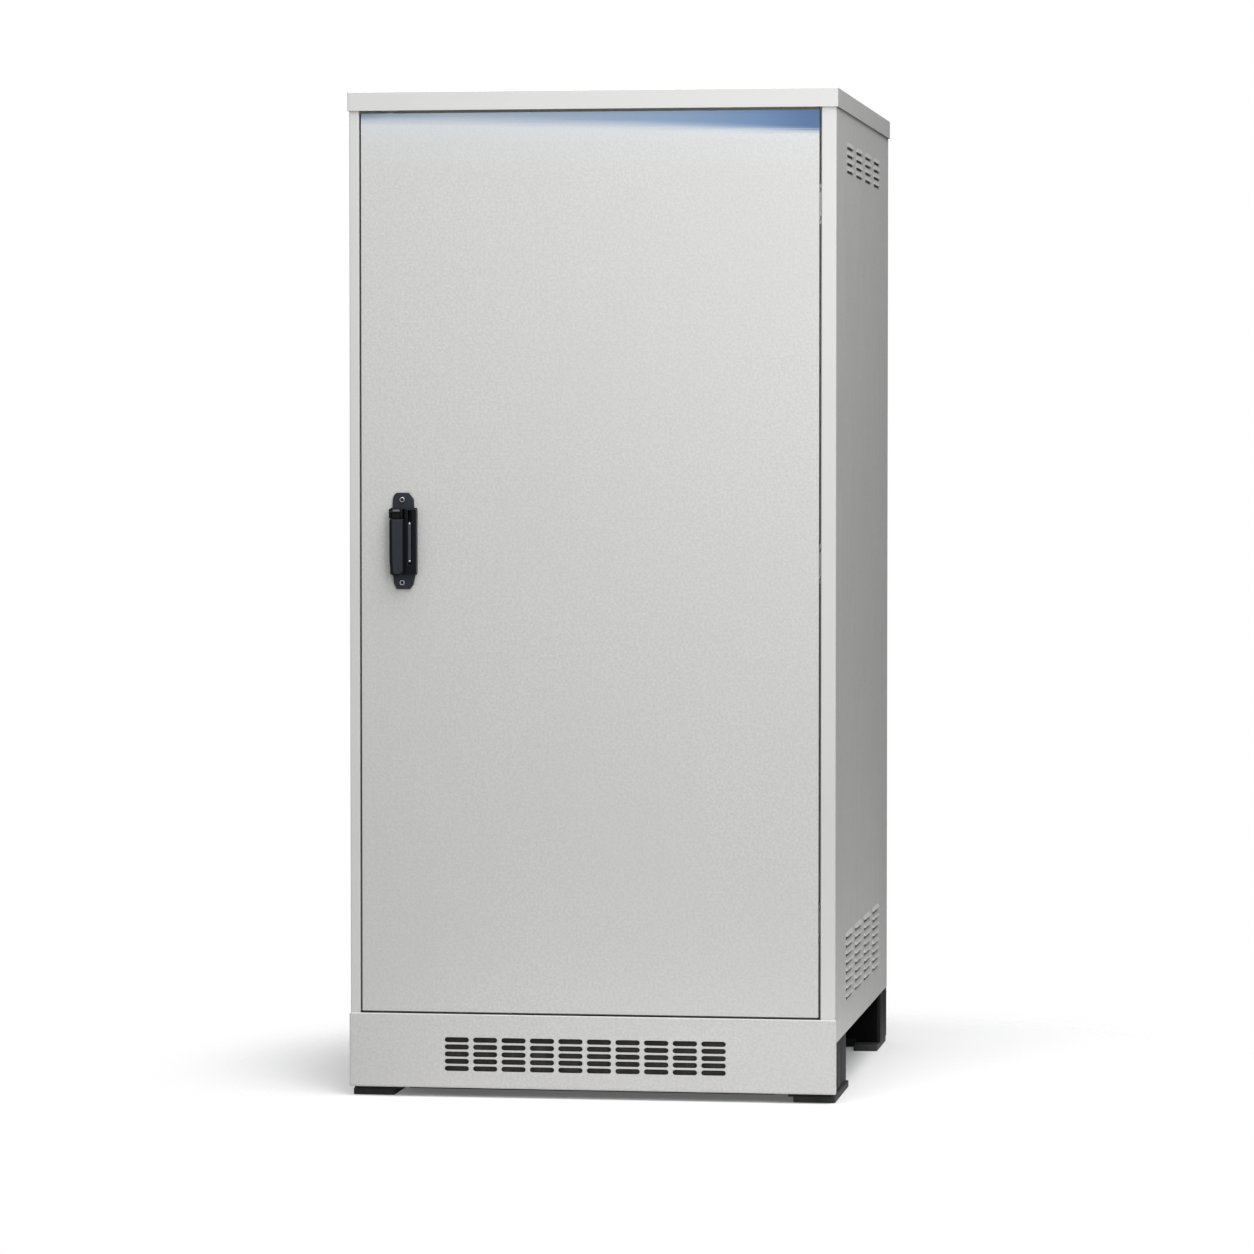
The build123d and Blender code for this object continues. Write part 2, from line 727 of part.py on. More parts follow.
with BuildPart() as handle_lever:
    # paddle
    with BuildSketch(Plane.XZ.offset(-lever_back)) as paddle:
        with BuildLine():
            Polyline(
                (lever_x - lever_half, 1066.5), (lever_x - lever_half, 968), (lever_x - 8, 962.5),
                (lever_x + 3, 962.5), (lever_x + lever_half, 975), (lever_x + lever_half, 1066.5),
                close=True,
            )
        make_face()
        fillet(paddle.vertices().group_by(Axis.Y)[0], 3)
    extrude(amount=lever_back - lever_front)
    fillet(handle_lever.faces().sort_by(Axis.Y)[0].edges(), 3)
    # neck and knuckle between the hub's ears
    slab(
        lever_x - ear_in + free, lever_x + ear_in - free,
        lever_pivot_y - 4, lever_back, 1060, lever_pivot_z,
    )
    along_x(
        lever_x - ear_in + free, lever_x + ear_in - free, lever_pivot_y, lever_pivot_z, 5.8,
    )
    along_x(
        lever_x - 14, lever_x + 14, lever_pivot_y, lever_pivot_z, lever_pin_r + running,
        mode=Mode.SUBTRACT,
    )
save(handle_lever, "handle_lever")

with BuildPart() as lever_pin:
    along_x(lever_x - ear_out, lever_x + ear_out, lever_pivot_y, lever_pivot_z, lever_pin_r)
save(lever_pin, "lever_pin")

with BuildPart() as lock_slide:
    slab(
        slot_x - slide_width / 2, slot_x + slide_width / 2,
        front_y - ridge_depth - 0.4, front_y - 5, slide_low, slide_high,
    )
    slab(slot_x - 5, slot_x + 5, front_y - 8, front_y - 4 - free, slide_low, slide_high)
    for z in (slide_low + 3, slide_high - 3):
        along_y(slot_x, front_y - ridge_depth - 0.8, front_y - ridge_depth, z, 1.6)
save(lock_slide, "lock_slide")

# ---- lock and rods ----
# Crank pins at 45 degrees: the left one drives the upper rod down, the right one the lower rod up.
crank_drop = crank_r * sin(radians(45))
upper_pin = (lever_x - crank_drop, hub_z + crank_drop)
lower_pin = (lever_x + crank_drop, hub_z - crank_drop)
yoke_play = 0.8

with BuildPart() as lock_disc:
    along_y(lever_x, disc_front, disc_back, hub_z, 24)
    for x, z in (upper_pin, lower_pin):
        along_y(x, disc_back - 1, rod_back + 2, z, crank_pin_r)
    slab(
        lever_x - 4, lever_x + 4, disc_front - 1, disc_back + 1, hub_z - 4, hub_z + 4,
        mode=Mode.SUBTRACT,
    )
save(lock_disc, "lock_disc")


def rod(side, pin_z, tip):
    """A flat lock rod with a cross slot for its crank pin; side is -1 left, 1 right."""
    x = lever_x + side * rod_offset
    inner_edge = lever_x + side * 6
    outer_edge = lever_x + side * 27
    slab(inner_edge, outer_edge, rod_front, rod_back, pin_z - 8, pin_z + 8)
    slab(x - rod_width / 2, x + rod_width / 2, rod_front, rod_back, pin_z, tip)
    slab(
        lever_x + side * (crank_drop - crank_pin_r - yoke_play),
        lever_x + side * (crank_r + crank_pin_r + yoke_play),
        rod_front - 1, rod_back + 1,
        pin_z - crank_pin_r - yoke_play, pin_z + crank_pin_r + yoke_play, mode=Mode.SUBTRACT,
    )


with BuildPart() as rod_upper:
    rod(-1, upper_pin[1], cap_bottom - 2.5)
save(rod_upper, "rod_upper")

with BuildPart() as rod_lower:
    rod(1, lower_pin[1], floor_top + 2)
save(rod_lower, "rod_lower")

guide_half = 8.0  # of a guide's height
guide_zs = {-1: (1250, 1500, 1760), 1: (880, 540, 210)}
with BuildPart() as rod_guides:
    for side, heights in guide_zs.items():
        x = lever_x + side * rod_offset
        slot_half = rod_width / 2 + free
        for z in heights:
            for edge in (-1, 1):
                slab(
                    x + edge * slot_half, x + edge * (slot_half + plate),
                    front_y + door_sheet, rod_back + plate, z - guide_half, z + guide_half,
                )
            slab(
                x - slot_half - plate, x + slot_half + plate,
                rod_back + free, rod_back + plate, z - guide_half, z + guide_half,
            )
save(rod_guides, "rod_guides")

case_half = (32.0, 42.0)  # width, height
case_low = hub_z - case_half[1]
case_high = hub_z + case_half[1]
case_back = front_y + door_depth
with BuildPart() as lock_case:
    for side in (-1, 1):
        wall = lever_x + side * (case_half[0] - 2)
        slab(
            wall, lever_x + side * case_half[0], front_y + door_sheet, case_back,
            case_low, case_high,
        )
        slab(
            wall, lever_x + side * (case_half[0] + 12), front_y + door_sheet,
            front_y + door_sheet + 2, case_low, case_high,
        )
    slab(
        lever_x - case_half[0], lever_x + case_half[0], case_back - 2, case_back,
        case_low, case_high,
    )
save(lock_case, "lock_case")

# ---- shelves and batteries ----
shelf_x = post_inner - 3.5
shelf_front = front_y + 160
shelf_back = front_y + 880
bracket_leg = 40.0
shelf_flange = 25.0
level_heights = [first_level + level * level_pitch for level in range(levels)]

with BuildPart() as shelf_brackets:
    for z in level_heights:
        slab(
            post_inner - plate, post_inner, post_front + 20, rear_beam_end - 10,
            z - shelf_flange - 2 * plate, z - 2,
        )
        slab(
            post_inner - bracket_leg, post_inner, post_front + 20, rear_beam_end - 10,
            z - shelf_flange - 2 * plate, z - shelf_flange - plate,
        )
    mirror(about=Plane.YZ)
save(shelf_brackets, "shelf_brackets")

for level, z in enumerate(level_heights):
    with BuildPart() as shelf:
        slab(-shelf_x, shelf_x, shelf_front, shelf_back, z - shelf_flange - plate, z)
        slab(
            -shelf_x + 2, shelf_x - 2, shelf_front + 2, shelf_back - 2,
            z - shelf_flange - 2 * plate, z - plate, mode=Mode.SUBTRACT,
        )
    save(shelf, f"shelf_{level + 1}")

block_xs = [
    (column - (blocks_across - 1) / 2) * (block[0] + block_gap) for column in range(blocks_across)
]
row_ys = [battery_front + block[1] / 2, battery_front + block[1] * 1.5 + row_gap]

for level, z in enumerate(level_heights):
    with BuildPart() as batteries:
        for x in block_xs:
            for y in row_ys:
                with BuildSketch(Plane.XY.offset(z)):
                    with Locations((x, y)):
                        RectangleRounded(block[0] - 4, block[1] - 4, 6)
                extrude(amount=block[2] - 26)
                with BuildSketch(Plane.XY.offset(z + block[2] - 26)):
                    with Locations((x, y)):
                        RectangleRounded(block[0], block[1], 7)
                extrude(amount=22)
                with BuildSketch(Plane.XY.offset(z + block[2] - 4)):
                    with Locations((x, y + 20)):
                        RectangleRounded(block[0] - 20, block[1] - 60, 5)
                extrude(amount=4)
    save(batteries, f"batteries_{level + 1}")

post_z = block[2] - 4 + terminal_height
with BuildPart() as battery_terminals:
    for z in level_heights:
        for y in row_ys:
            for x in block_xs:
                for side in (-1, 1):
                    along_z(
                        x + side * terminal_x, y - terminal_y - 10,
                        z + block[2] - 4, z + post_z, 8,
                    )
save(battery_terminals, "battery_terminals")

# Copper bars join neighbouring blocks, and one long bar joins the two rows at the right.
link_half = 9.0
link_y = [y - terminal_y - 10 for y in row_ys]
with BuildPart() as battery_links:
    for z in level_heights:
        for y in link_y:
            for left, right in zip(block_xs, block_xs[1:]):
                slab(
                    left + terminal_x - link_half, right - terminal_x + link_half,
                    y - link_half, y + link_half, z + post_z, z + post_z + 3,
                )
        x = block_xs[-1] + terminal_x
        slab(
            x - link_half, x + link_half, link_y[0] - link_half, link_y[1] + link_half,
            z + post_z, z + post_z + 3,
        )
save(battery_links, "battery_links")

# ---- breaker ----
breaker_plate_y = front_y + 170
breaker_x = -110.0
breaker_width = 105.0
breaker_low = 1600.0
breaker_high = 1765.0
breaker_face = breaker_plate_y - 70
toggle_z = 1690.0
toggle_y = breaker_face + 18
toggle_tilt = 25.0
button_x = breaker_x + 32
button_z = 1655.0

with BuildPart() as breaker_plate:
    slab(-430, 430, breaker_plate_y, breaker_plate_y + 2, 1580, rail_bottom)
    slab(-430, 430, breaker_plate_y, breaker_plate_y + 30, rail_bottom - 2, rail_bottom)
save(breaker_plate, "breaker_plate")

with BuildPart() as breaker_body:
    x0 = breaker_x - breaker_width / 2
    x1 = breaker_x + breaker_width / 2
    slab(x0, x1, breaker_plate_y - 55, breaker_plate_y, breaker_low, breaker_high)
    slab(x0, x1, breaker_face, breaker_plate_y - 50, breaker_low + 35, breaker_high - 35)
    fillet(breaker_body.edges().filter_by(Axis.X).group_by(Axis.Y)[0], 2)
    slab(
        breaker_x - 12 - free, breaker_x + 12 + free, breaker_face - 1, toggle_y + 14,
        toggle_z - 24, toggle_z + 24, mode=Mode.SUBTRACT,
    )
    along_x(breaker_x - 16, breaker_x + 16, toggle_y, toggle_z, 2.5 + running, mode=Mode.SUBTRACT)
    along_y(button_x, breaker_face - 1, breaker_face + 14, button_z, 4 + running, mode=Mode.SUBTRACT)
save(breaker_body, "breaker_body")

# The toggle is stored in its upper position.
with BuildPart() as breaker_toggle:
    along_x(breaker_x - 12, breaker_x + 12, toggle_y, toggle_z, 9)
    along_x(breaker_x - 15.5, breaker_x + 15.5, toggle_y, toggle_z, 2.5)
    tilted = Plane(
        origin=(breaker_x, toggle_y, toggle_z), x_dir=(1, 0, 0),
        z_dir=(0, -cos(radians(toggle_tilt)), sin(radians(toggle_tilt))),
    )
    with BuildSketch(tilted):
        RectangleRounded(20, 9, 2)
    extrude(amount=42)
save(breaker_toggle, "breaker_toggle")

with BuildPart() as trip_button:
    along_y(button_x, breaker_face - 3, breaker_face + 9, button_z, 4)
save(trip_button, "trip_button")

with BuildPart() as output_terminals:
    slab(60, 260, breaker_plate_y - 30, breaker_plate_y, 1640, 1700)
    for x in (95, 160, 225):
        along_y(x, breaker_plate_y - 50, breaker_plate_y - 30, 1670, 6)
        slab(x - 14, x + 14, breaker_plate_y - 33, breaker_plate_y - 29, 1650, 1690)
save(output_terminals, "output_terminals")

# ---- string cables ----
lug_rise = post_z + cable_r
cable_x = block_xs[0] - terminal_x
front_run = front_y + 120
far_run = front_y + 92
rear_run = front_y + 915
bend = 45.0


def cable(points, radius):
    """A cable along straight runs joined by arcs."""
    with BuildLine() as route:
        FilletPolyline(*points, radius=radius)
    with BuildSketch(Plane(origin=route.line @ 0, z_dir=route.line % 0)) as section:
        Circle(cable_r)
    sweep(section.sketch, path=route.line)


with BuildPart() as string_cables:
    tops = [z + lug_rise for z in level_heights]
    # rear links, between levels 1 and 2 and between levels 3 and 4
    for lower, upper in ((0, 1), (2, 3)):
        y = link_y[1]
        cable(
            [(cable_x, y, tops[lower]), (cable_x, rear_run, tops[lower]),
             (cable_x, rear_run, tops[upper]), (cable_x, y, tops[upper])], bend,
        )
    y = link_y[0]
    cable(
        [(cable_x, y, tops[1]), (cable_x, front_run, tops[1]),
         (cable_x, front_run, tops[2]), (cable_x, y, tops[2])], bend,
    )
    # string ends, up to the breaker
    cable(
        [(cable_x, y, tops[0]), (cable_x, far_run, tops[0]), (cable_x, far_run, 1545),
         (breaker_x - 30, far_run, 1545), (breaker_x - 30, far_run, breaker_low + 20),
         (breaker_x - 30, breaker_plate_y - 55, breaker_low + 20)], 20,
    )
    cable(
        [(cable_x, y, tops[3]), (cable_x, front_run, tops[3]), (cable_x, front_run, 1520),
         (breaker_x + 30, front_run, 1520), (breaker_x + 30, front_run, breaker_low)], 20,
    )
save(string_cables, "string_cables")
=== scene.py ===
import json
import math
import bmesh
import bpy
from mathutils import Matrix, Vector


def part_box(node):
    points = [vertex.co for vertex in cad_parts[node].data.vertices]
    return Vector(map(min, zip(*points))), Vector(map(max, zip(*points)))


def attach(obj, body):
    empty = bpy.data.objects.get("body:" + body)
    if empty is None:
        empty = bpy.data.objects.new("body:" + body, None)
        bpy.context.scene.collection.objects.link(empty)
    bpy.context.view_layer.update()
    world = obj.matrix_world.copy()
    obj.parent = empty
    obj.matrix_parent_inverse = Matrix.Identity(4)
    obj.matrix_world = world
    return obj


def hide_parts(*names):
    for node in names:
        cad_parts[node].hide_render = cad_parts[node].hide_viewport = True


# The looks of a floor-standing battery cabinet. Metres, +Z up, front face towards -Y.
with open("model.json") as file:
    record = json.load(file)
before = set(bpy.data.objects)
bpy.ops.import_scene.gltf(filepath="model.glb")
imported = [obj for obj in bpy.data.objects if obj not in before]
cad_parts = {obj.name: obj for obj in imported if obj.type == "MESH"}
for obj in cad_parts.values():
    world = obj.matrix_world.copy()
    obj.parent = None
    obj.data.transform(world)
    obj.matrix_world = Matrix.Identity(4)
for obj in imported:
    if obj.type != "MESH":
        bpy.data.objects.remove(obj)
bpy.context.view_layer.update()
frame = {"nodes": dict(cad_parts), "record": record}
scene = bpy.context.scene
NODES = frame["nodes"]
SLOT_OF = {part["node"]: part["material_slot"] for part in frame["record"]["subparts"]}
BODY_OF = {n: b for b, ns in frame["record"]["behaviour"]["bodies"].items() for n in ns}
MM = 0.001


def given(thing, **settings):
    """A thing with its settings put in."""
    for name, value in settings.items():
        setattr(thing, name, value)
    return thing


# ---- node trees ----
def arithmetic(operation, swapped=False):
    """A method that adds a Math node to the tree."""
    return lambda self, other: self.tree.maths(operation, *((other, self) if swapped else (self, other)))


class Value:
    """An output in a node tree, on which arithmetic works."""

    def __init__(self, tree, socket):
        self.tree = tree
        self.socket = socket

    __add__ = arithmetic("ADD")
    __sub__ = arithmetic("SUBTRACT")
    __rsub__ = arithmetic("SUBTRACT", swapped=True)
    __mul__ = arithmetic("MULTIPLY")
    __truediv__ = arithmetic("DIVIDE")
    __pow__ = arithmetic("POWER")


class Tree:
    """A shader or geometry node tree, whose nodes all come from one method."""

    def __init__(self, tree):
        self.tree = tree

    def node(self, kind, settings=None, inputs=None, output=0):
        made = given(self.tree.nodes.new(kind), **(settings or {}))
        for name, value in (inputs or {}).items():
            self.feed(made.inputs[name], value)
        return Value(self, made.outputs[output])

    def feed(self, socket, value):
        if isinstance(value, Value):
            self.tree.links.new(value.socket, socket)
        else:
            socket.default_value = value

    def maths(self, operation, *values):
        return self.node("ShaderNodeMath", {"operation": operation}, dict(enumerate(values)))

    def vectors(self, operation, *values, output="Vector"):
        return self.node("ShaderNodeVectorMath", {"operation": operation}, dict(enumerate(values)), output)

    def step(self, value, low, high, start=0.0, end=1.0):
        """A smooth rise from start to end while value goes from low to high."""
        return self.node(
            "ShaderNodeMapRange", {"interpolation_type": "SMOOTHSTEP"},
            {"Value": value, "From Min": low, "From Max": high, "To Min": start, "To Max": end},
        )


# ---- finishes ----
MIXED_COLOUR = 2  # the colour output of a Mix node, whose colour inputs are 6 and 7
# the brownish grey that a coat drifts towards near the bottom
BOTTOM_TONE = (0.50, 0.47, 0.42)


class Finish(Tree):
    """A material: its tree, its shader, and the patterns that its colour, gloss and relief are made of."""

    def __init__(self, metallic=0.0, coat=0.0, specular=0.5):
        self.material = bpy.data.materials.new("finish")
        self.material.use_nodes = True
        super().__init__(self.material.node_tree)
        self.tree.nodes.clear()
        self.shader = self.tree.nodes.new("ShaderNodeBsdfPrincipled")
        output = self.tree.nodes.new("ShaderNodeOutputMaterial")
        self.tree.links.new(self.shader.outputs[0], output.inputs[0])
        levels = {"Metallic": metallic, "Coat Weight": coat, "Specular IOR Level": specular}
        for name, value in levels.items():
            self.feed(self.shader.inputs[name], value)
        self.place = self.node("ShaderNodeTexCoord", output="Object")

    def noise(self, scale, detail, roughness, stretch=None):
        """Noise over the piece, finer along the axes with a higher stretch."""
        place = self.place
        if stretch:
            place = self.node("ShaderNodeMapping", None, {"Vector": place, "Scale": stretch})
        inputs = {"Vector": place, "Scale": scale, "Detail": detail, "Roughness": roughness}
        return self.node("ShaderNodeTexNoise", None, inputs)

    def cells(self, scale, output=0):
        return self.node("ShaderNodeTexVoronoi", None, {"Vector": self.place, "Scale": scale}, output)

    def ramp(self, factor, stops):
        """Colours along a factor, from stops that each have a place and a colour."""
        made = self.node("ShaderNodeValToRGB", None, {"Fac": factor})
        elements = made.socket.node.color_ramp.elements
        for element, stop in zip(elements, (stops[0], stops[-1])):
            element.position = stop[0]
        for place, tone in stops[1:-1]:
            elements.new(place)
        for element, (place, tone) in zip(elements, stops):
            element.color = (*tone, 1)
        return made

    def axis(self, name):
        return self.node("ShaderNodeSeparateXYZ", None, {"Vector": self.place}, name)

    def mix(self, factor, first, second):
        """Two colours, mixed by a factor."""
        first, second = (v if isinstance(v, Value) else (*v, 1) for v in (first, second))
        sockets = {0: factor, 6: first, 7: second}
        return self.node("ShaderNodeMix", {"data_type": "RGBA"}, sockets, MIXED_COLOUR)

    def relief(self, height, strength, distance, under=None):
        inputs = {"Height": height, "Strength": strength, "Distance": distance}
        if under:
            inputs["Normal"] = under
        return self.node("ShaderNodeBump", None, inputs)

    def wear(self, colour, roughness, normal=None):
        self.feed(self.shader.inputs["Base Color"], colour)
        self.feed(self.shader.inputs["Roughness"], roughness)
        if normal:
            self.feed(self.shader.inputs["Normal"], normal)
        return self.material


def shade(tone, factor):
    return tuple(min(1.0, channel * factor) for channel in tone)


def powder_coat(tone, rough=0.48, grain=1.0, mottle=1.0, top_fade=False, smooth_and_painted_lit_front=False, specular=0.5):
    """Textured powder coat: fine pimples, a broader mottle, handling haze and a drift to brownish grey
    towards the bottom; if asked, a smoother front face that is painted lighter than the sides as painted
    light.
    """
    f = Finish(coat=0.04 if specular > 0.2 else 0.0, specular=specular)
    pimples = f.noise(620, 3, 0.6)
    leather = f.noise(230, 2, 0.55)
    cloud = f.noise(3.2, 3, 0.5)
    speckle = f.step(leather, 0.32, 0.7)
    colour = f.mix(speckle, shade(tone, 1 - 0.075 * mottle), shade(tone, 1 + 0.055 * mottle))
    colour = f.mix(f.step(cloud, 0.35, 0.7, 0, 0.35), colour, shade(tone, 0.955))
    # towards the bottom the coat drifts to a brownish grey: darker on pale coats, a touch lighter on black
    # ones
    toward_bottom = f.step(f.axis("Z") + cloud * 0.06, 0.03, 0.20, 0.16, 0.0)
    colour = f.mix(toward_bottom, colour, shade(BOTTOM_TONE, 0.02 + sum(tone) / 3))
    strength = 0.30 * grain
    # painted light: faces in the front plane get a colour 4 to 7 % lighter than the coat, as if lit better
    # than the sides, and a smoother grain
    if smooth_and_painted_lit_front:
        front = f.step(f.axis("Y"), DOOR_FACE - 0.001, DOOR_FACE + 0.005, 1.0, 0.0)
        flow = f.step(cloud, 0.3, 0.7)
        colour = f.mix(front, colour, f.mix(flow, shade(tone, 1.04), shade(tone, 1.07)))
        strength = (1 - front * 0.75) * strength
    if top_fade:
        colour = blue_fade(f, colour)
    smear = f.noise(1.0, 4, 0.6, (26, 26, 5))
    gloss = f.step(smear, 0.3, 0.75, rough - 0.05, rough + 0.07) + (pimples - 0.5) * 0.08
    relief = f.relief(leather, strength * 0.7, 0.0011)
    return f.wear(colour, gloss, f.relief(pimples, strength, 0.0005, relief))


def blue_fade(f, colour):
    """A plain fade of blue along the door's upper edge, stronger towards the hinge side."""
    low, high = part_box("door_panel")
    along = (f.axis("X") - low.x) / (high.x - low.x)
    ripple = f.noise(1.0, 2, 0.5, (7, 1, 260))
    below = high.z - f.axis("Z") + (ripple - 0.5) * 0.004
    hues = [
        (0.00, (0.11, 0.17, 0.27)), (0.05, (0.21, 0.27, 0.35)), (0.20, (0.28, 0.335, 0.41)),
        (0.50, (0.22, 0.29, 0.39)), (0.70, (0.165, 0.245, 0.365)), (0.86, (0.10, 0.18, 0.315)),
        (0.98, (0.05, 0.11, 0.235)),
    ]
    hue = f.ramp(along, hues)
    haze = f.step(below, 0.018, 0.072, 0.62, 0.14)
    colour = f.mix(haze * f.step(below, 0.064, 0.125, 1.0, 0.0), colour, (0.535, 0.572, 0.605))
    reach = along * 0.022 + 0.020
    streaks = f.noise(1.0, 3, 0.6, (3, 1, 520))
    part = below / reach + (streaks - 0.5) * 0.30
    start = along * 0.85 - 0.12
    fade = f.step((part - start) / (1.12 - start), 0.0, 1.0, 1.0, 0.0)
    front = f.step(f.axis("Y"), DOOR_FACE + 0.0012, DOOR_FACE + 0.004, 1.0, 0.0)
    return f.mix(fade * front, colour, hue)


def moulded(tone, rough=0.42, grain=1.0, coat=0.0, specular=0.5):
    """Moulded plastic: spark-eroded grain, faint flow marks and rubbed highlights."""
    f = Finish(coat=coat, specular=specular)
    grit = f.noise(900, 2, 0.5)
    flow = f.noise(1.0, 3, 0.55, (30, 30, 9))
    rubbed = f.step(f.noise(14, 4, 0.6), 0.45, 0.75)
    colour = f.mix(f.step(flow, 0.3, 0.7), shade(tone, 0.88), shade(tone, 1.12))
    colour = f.mix(rubbed * 0.25, colour, tuple(c * 1.15 + 0.004 for c in tone))
    gloss = f.step(grit, 0.3, 0.7, rough - 0.04, rough + 0.06) - rubbed * 0.05
    return f.wear(colour, gloss, f.relief(grit, 0.22 * grain, 0.0004))


def bare_metal(tone, rough=0.34, spangle=0.0, grain=(1, 1, 40), tarnish=(0.3, 0.27, 0.22), stain=0.25):
    """Plated or bare metal: crystal spangle or drawn lines, with tarnish in patches."""
    f = Finish(metallic=0.95)
    lines = f.noise(60, 4, 0.65, grain)
    patches = f.step(f.noise(22, 4, 0.6), 0.48, 0.78)
    colour = f.mix(f.step(lines, 0.3, 0.7), shade(tone, 0.9), shade(tone, 1.06))
    gloss = f.step(lines, 0.25, 0.75, rough - 0.06, rough + 0.08)
    relief = f.relief(lines, 0.12, 0.0003)
    if spangle:
        level = f.node("ShaderNodeSeparateColor", None, {"Color": f.cells(spangle, "Color")}, "Red")
        colour = f.mix(level * 0.5, colour, shade(tone, 1.22))
        gloss = gloss + (level - 0.5) * 0.16
    colour = f.mix(patches * stain, colour, tarnish)
    return f.wear(colour, gloss + patches * 0.14, relief)


def rubber(tone, rough=0.72, pore=420, dusty=0.25):
    """Rubber or foam: fine pores and a chalky, dusty bloom."""
    f = Finish()
    pores = f.cells(pore)
    bloom = f.step(f.noise(35, 4, 0.6), 0.4, 0.75)
    colour = f.mix(bloom * dusty, tone, (0.34, 0.33, 0.31))
    gloss = f.step(bloom, 0.0, 1.0, rough - 0.05, rough + 0.12)
    return f.wear(colour, gloss, f.relief(pores, 0.35, 0.0006))


DOOR_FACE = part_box("door_panel")[0].y
GREY = (0.520, 0.521, 0.514)
FINISHES = {
    # its front faces are painted lighter than its sides, as painted light
    "grey_coat": powder_coat(GREY, smooth_and_painted_lit_front=True),
    "door_coat": powder_coat(GREY, top_fade=True),
    "inner_coat": powder_coat(shade(GREY, 0.97), rough=0.42, grain=0.7, mottle=0.6),
    "black_coat": powder_coat((0.011, 0.0112, 0.012), rough=0.58, mottle=2.2, specular=0.10),
    "zinc_steel": bare_metal((0.60, 0.62, 0.65), 0.38, spangle=150, tarnish=(0.42, 0.42, 0.40)),
    # painted shade: a darker black than the black coat, for the rear beam whose front lies in deep shadow
    "beam_black": powder_coat((0.0035, 0.0036, 0.0039), rough=0.8, mottle=2.2, specular=0.03),
    "foot_rubber": rubber((0.008, 0.008, 0.0086), 0.7, dusty=0.1),
    "gasket_foam": rubber((0.022, 0.022, 0.023), 0.85, pore=900, dusty=0.12),
    "handle_black": moulded((0.0028, 0.0040, 0.0062), 0.36, specular=0.16),
    # painted light: a lighter copy of the handle's black for its front faces, as if lit from the front
    "handle_face": moulded((0.0165, 0.0215, 0.0295), 0.42, specular=0.30),
    "dark_screw": bare_metal((0.030, 0.032, 0.036), 0.34, stain=0.1),
    # painted shade seen through the kick plate's slots
    "slot_mesh": rubber((0.016, 0.015, 0.013), 0.9, pore=500, dusty=0.1),
    "filter_mat": rubber((0.105, 0.105, 0.10), 0.9, pore=700, dusty=0.3),
    # a light grey for the painted highlight on the lever's knuckle
    "knuckle_grey": moulded((0.11, 0.115, 0.125), 0.36),
    "slide_grey": moulded((0.042, 0.048, 0.058), 0.36, specular=0.35),
    "battery_case": moulded((0.030, 0.031, 0.034), 0.46, grain=1.6),
    "copper": bare_metal((0.72, 0.36, 0.20), 0.30, grain=(40, 2, 40), tarnish=(0.20, 0.09, 0.05)),
    "terminal_brass": bare_metal((0.66, 0.50, 0.22), 0.30, tarnish=(0.25, 0.17, 0.07)),
    "breaker_case": moulded((0.085, 0.088, 0.092), 0.44),
    "toggle_black": moulded((0.012, 0.012, 0.013), 0.36),
    "button_red": moulded((0.42, 0.020, 0.016), 0.36, coat=0.1),
    "gland_grey": moulded((0.26, 0.27, 0.28), 0.48),
    "cable_sheath": moulded((0.015, 0.015, 0.016), 0.5),
}
for name, material in FINISHES.items():
    material.name = name


# ---- patterns ----
def applied(thing):
    """The evaluated mesh of an object, which is then removed."""
    bpy.context.view_layer.update()
    graph = bpy.context.evaluated_depsgraph_get()
    mesh = bpy.data.meshes.new_from_object(thing.evaluated_get(graph), depsgraph=graph)
    bpy.data.objects.remove(thing)
    return mesh


def placed(name, data):
    thing = bpy.data.objects.new(name, data)
    scene.collection.objects.link(thing)
    return thing


class Pattern(Tree):
    """A Geometry Nodes tree with named inputs for its sizes, which ends in a realised, painted mesh."""

    def __init__(self, name, sizes):
        super().__init__(bpy.data.node_groups.new(name, "GeometryNodeTree"))
        self.keys = {}
        sockets = self.tree.interface
        for label, kind in (("Base", "Geometry"), *sizes.items(), ("Finish", "Material")):
            socket = sockets.new_socket(name=label, in_out="INPUT", socket_type="NodeSocket" + kind)
            self.keys[label] = socket.identifier
        sockets.new_socket(name="Mesh", in_out="OUTPUT", socket_type="NodeSocketGeometry")
        self.entry = self.tree.nodes.new("NodeGroupInput")

    def size(self, label):
        return Value(self, self.entry.outputs[label])

    def grid(self, wide, high, columns, rows):
        sizes = {"Size X": wide, "Size Y": high, "Vertices X": columns, "Vertices Y": rows}
        return self.node("GeometryNodeMeshGrid", None, sizes)

    def close(self, points, unit):
        """Put the unit on every point and end the tree."""
        copies = self.node("GeometryNodeInstanceOnPoints", None, {"Points": points, "Instance": unit})
        real = self.node("GeometryNodeRealizeInstances", None, {"Geometry": copies})
        paint = {"Geometry": real, "Material": self.size("Finish")}
        painted = self.node("GeometryNodeSetMaterial", None, paint)
        end = self.tree.nodes.new("NodeGroupOutput")
        self.feed(end.inputs["Mesh"], painted)
        return self

    def made(self, finish, base=None, wall=0.0, **sizes):
        """The pattern's plain mesh at these sizes, with a wall's thickness behind its surface."""
        thing = placed("pattern", base or bpy.data.meshes.new("pattern"))
        modifier = thing.modifiers.new("Pattern", "NODES")
        modifier.node_group = self.tree
        modifier[self.keys["Finish"]] = FINISHES[finish]
        for label, value in sizes.items():
            modifier[self.keys[label.replace("_", " ").capitalize()]] = value
        if wall:
            given(thing.modifiers.new("Wall", "SOLIDIFY"), thickness=wall, offset=-1.0)
        return applied(thing)


HOOD_GRID = (37, 9)  # points along a louvre's hood and up it


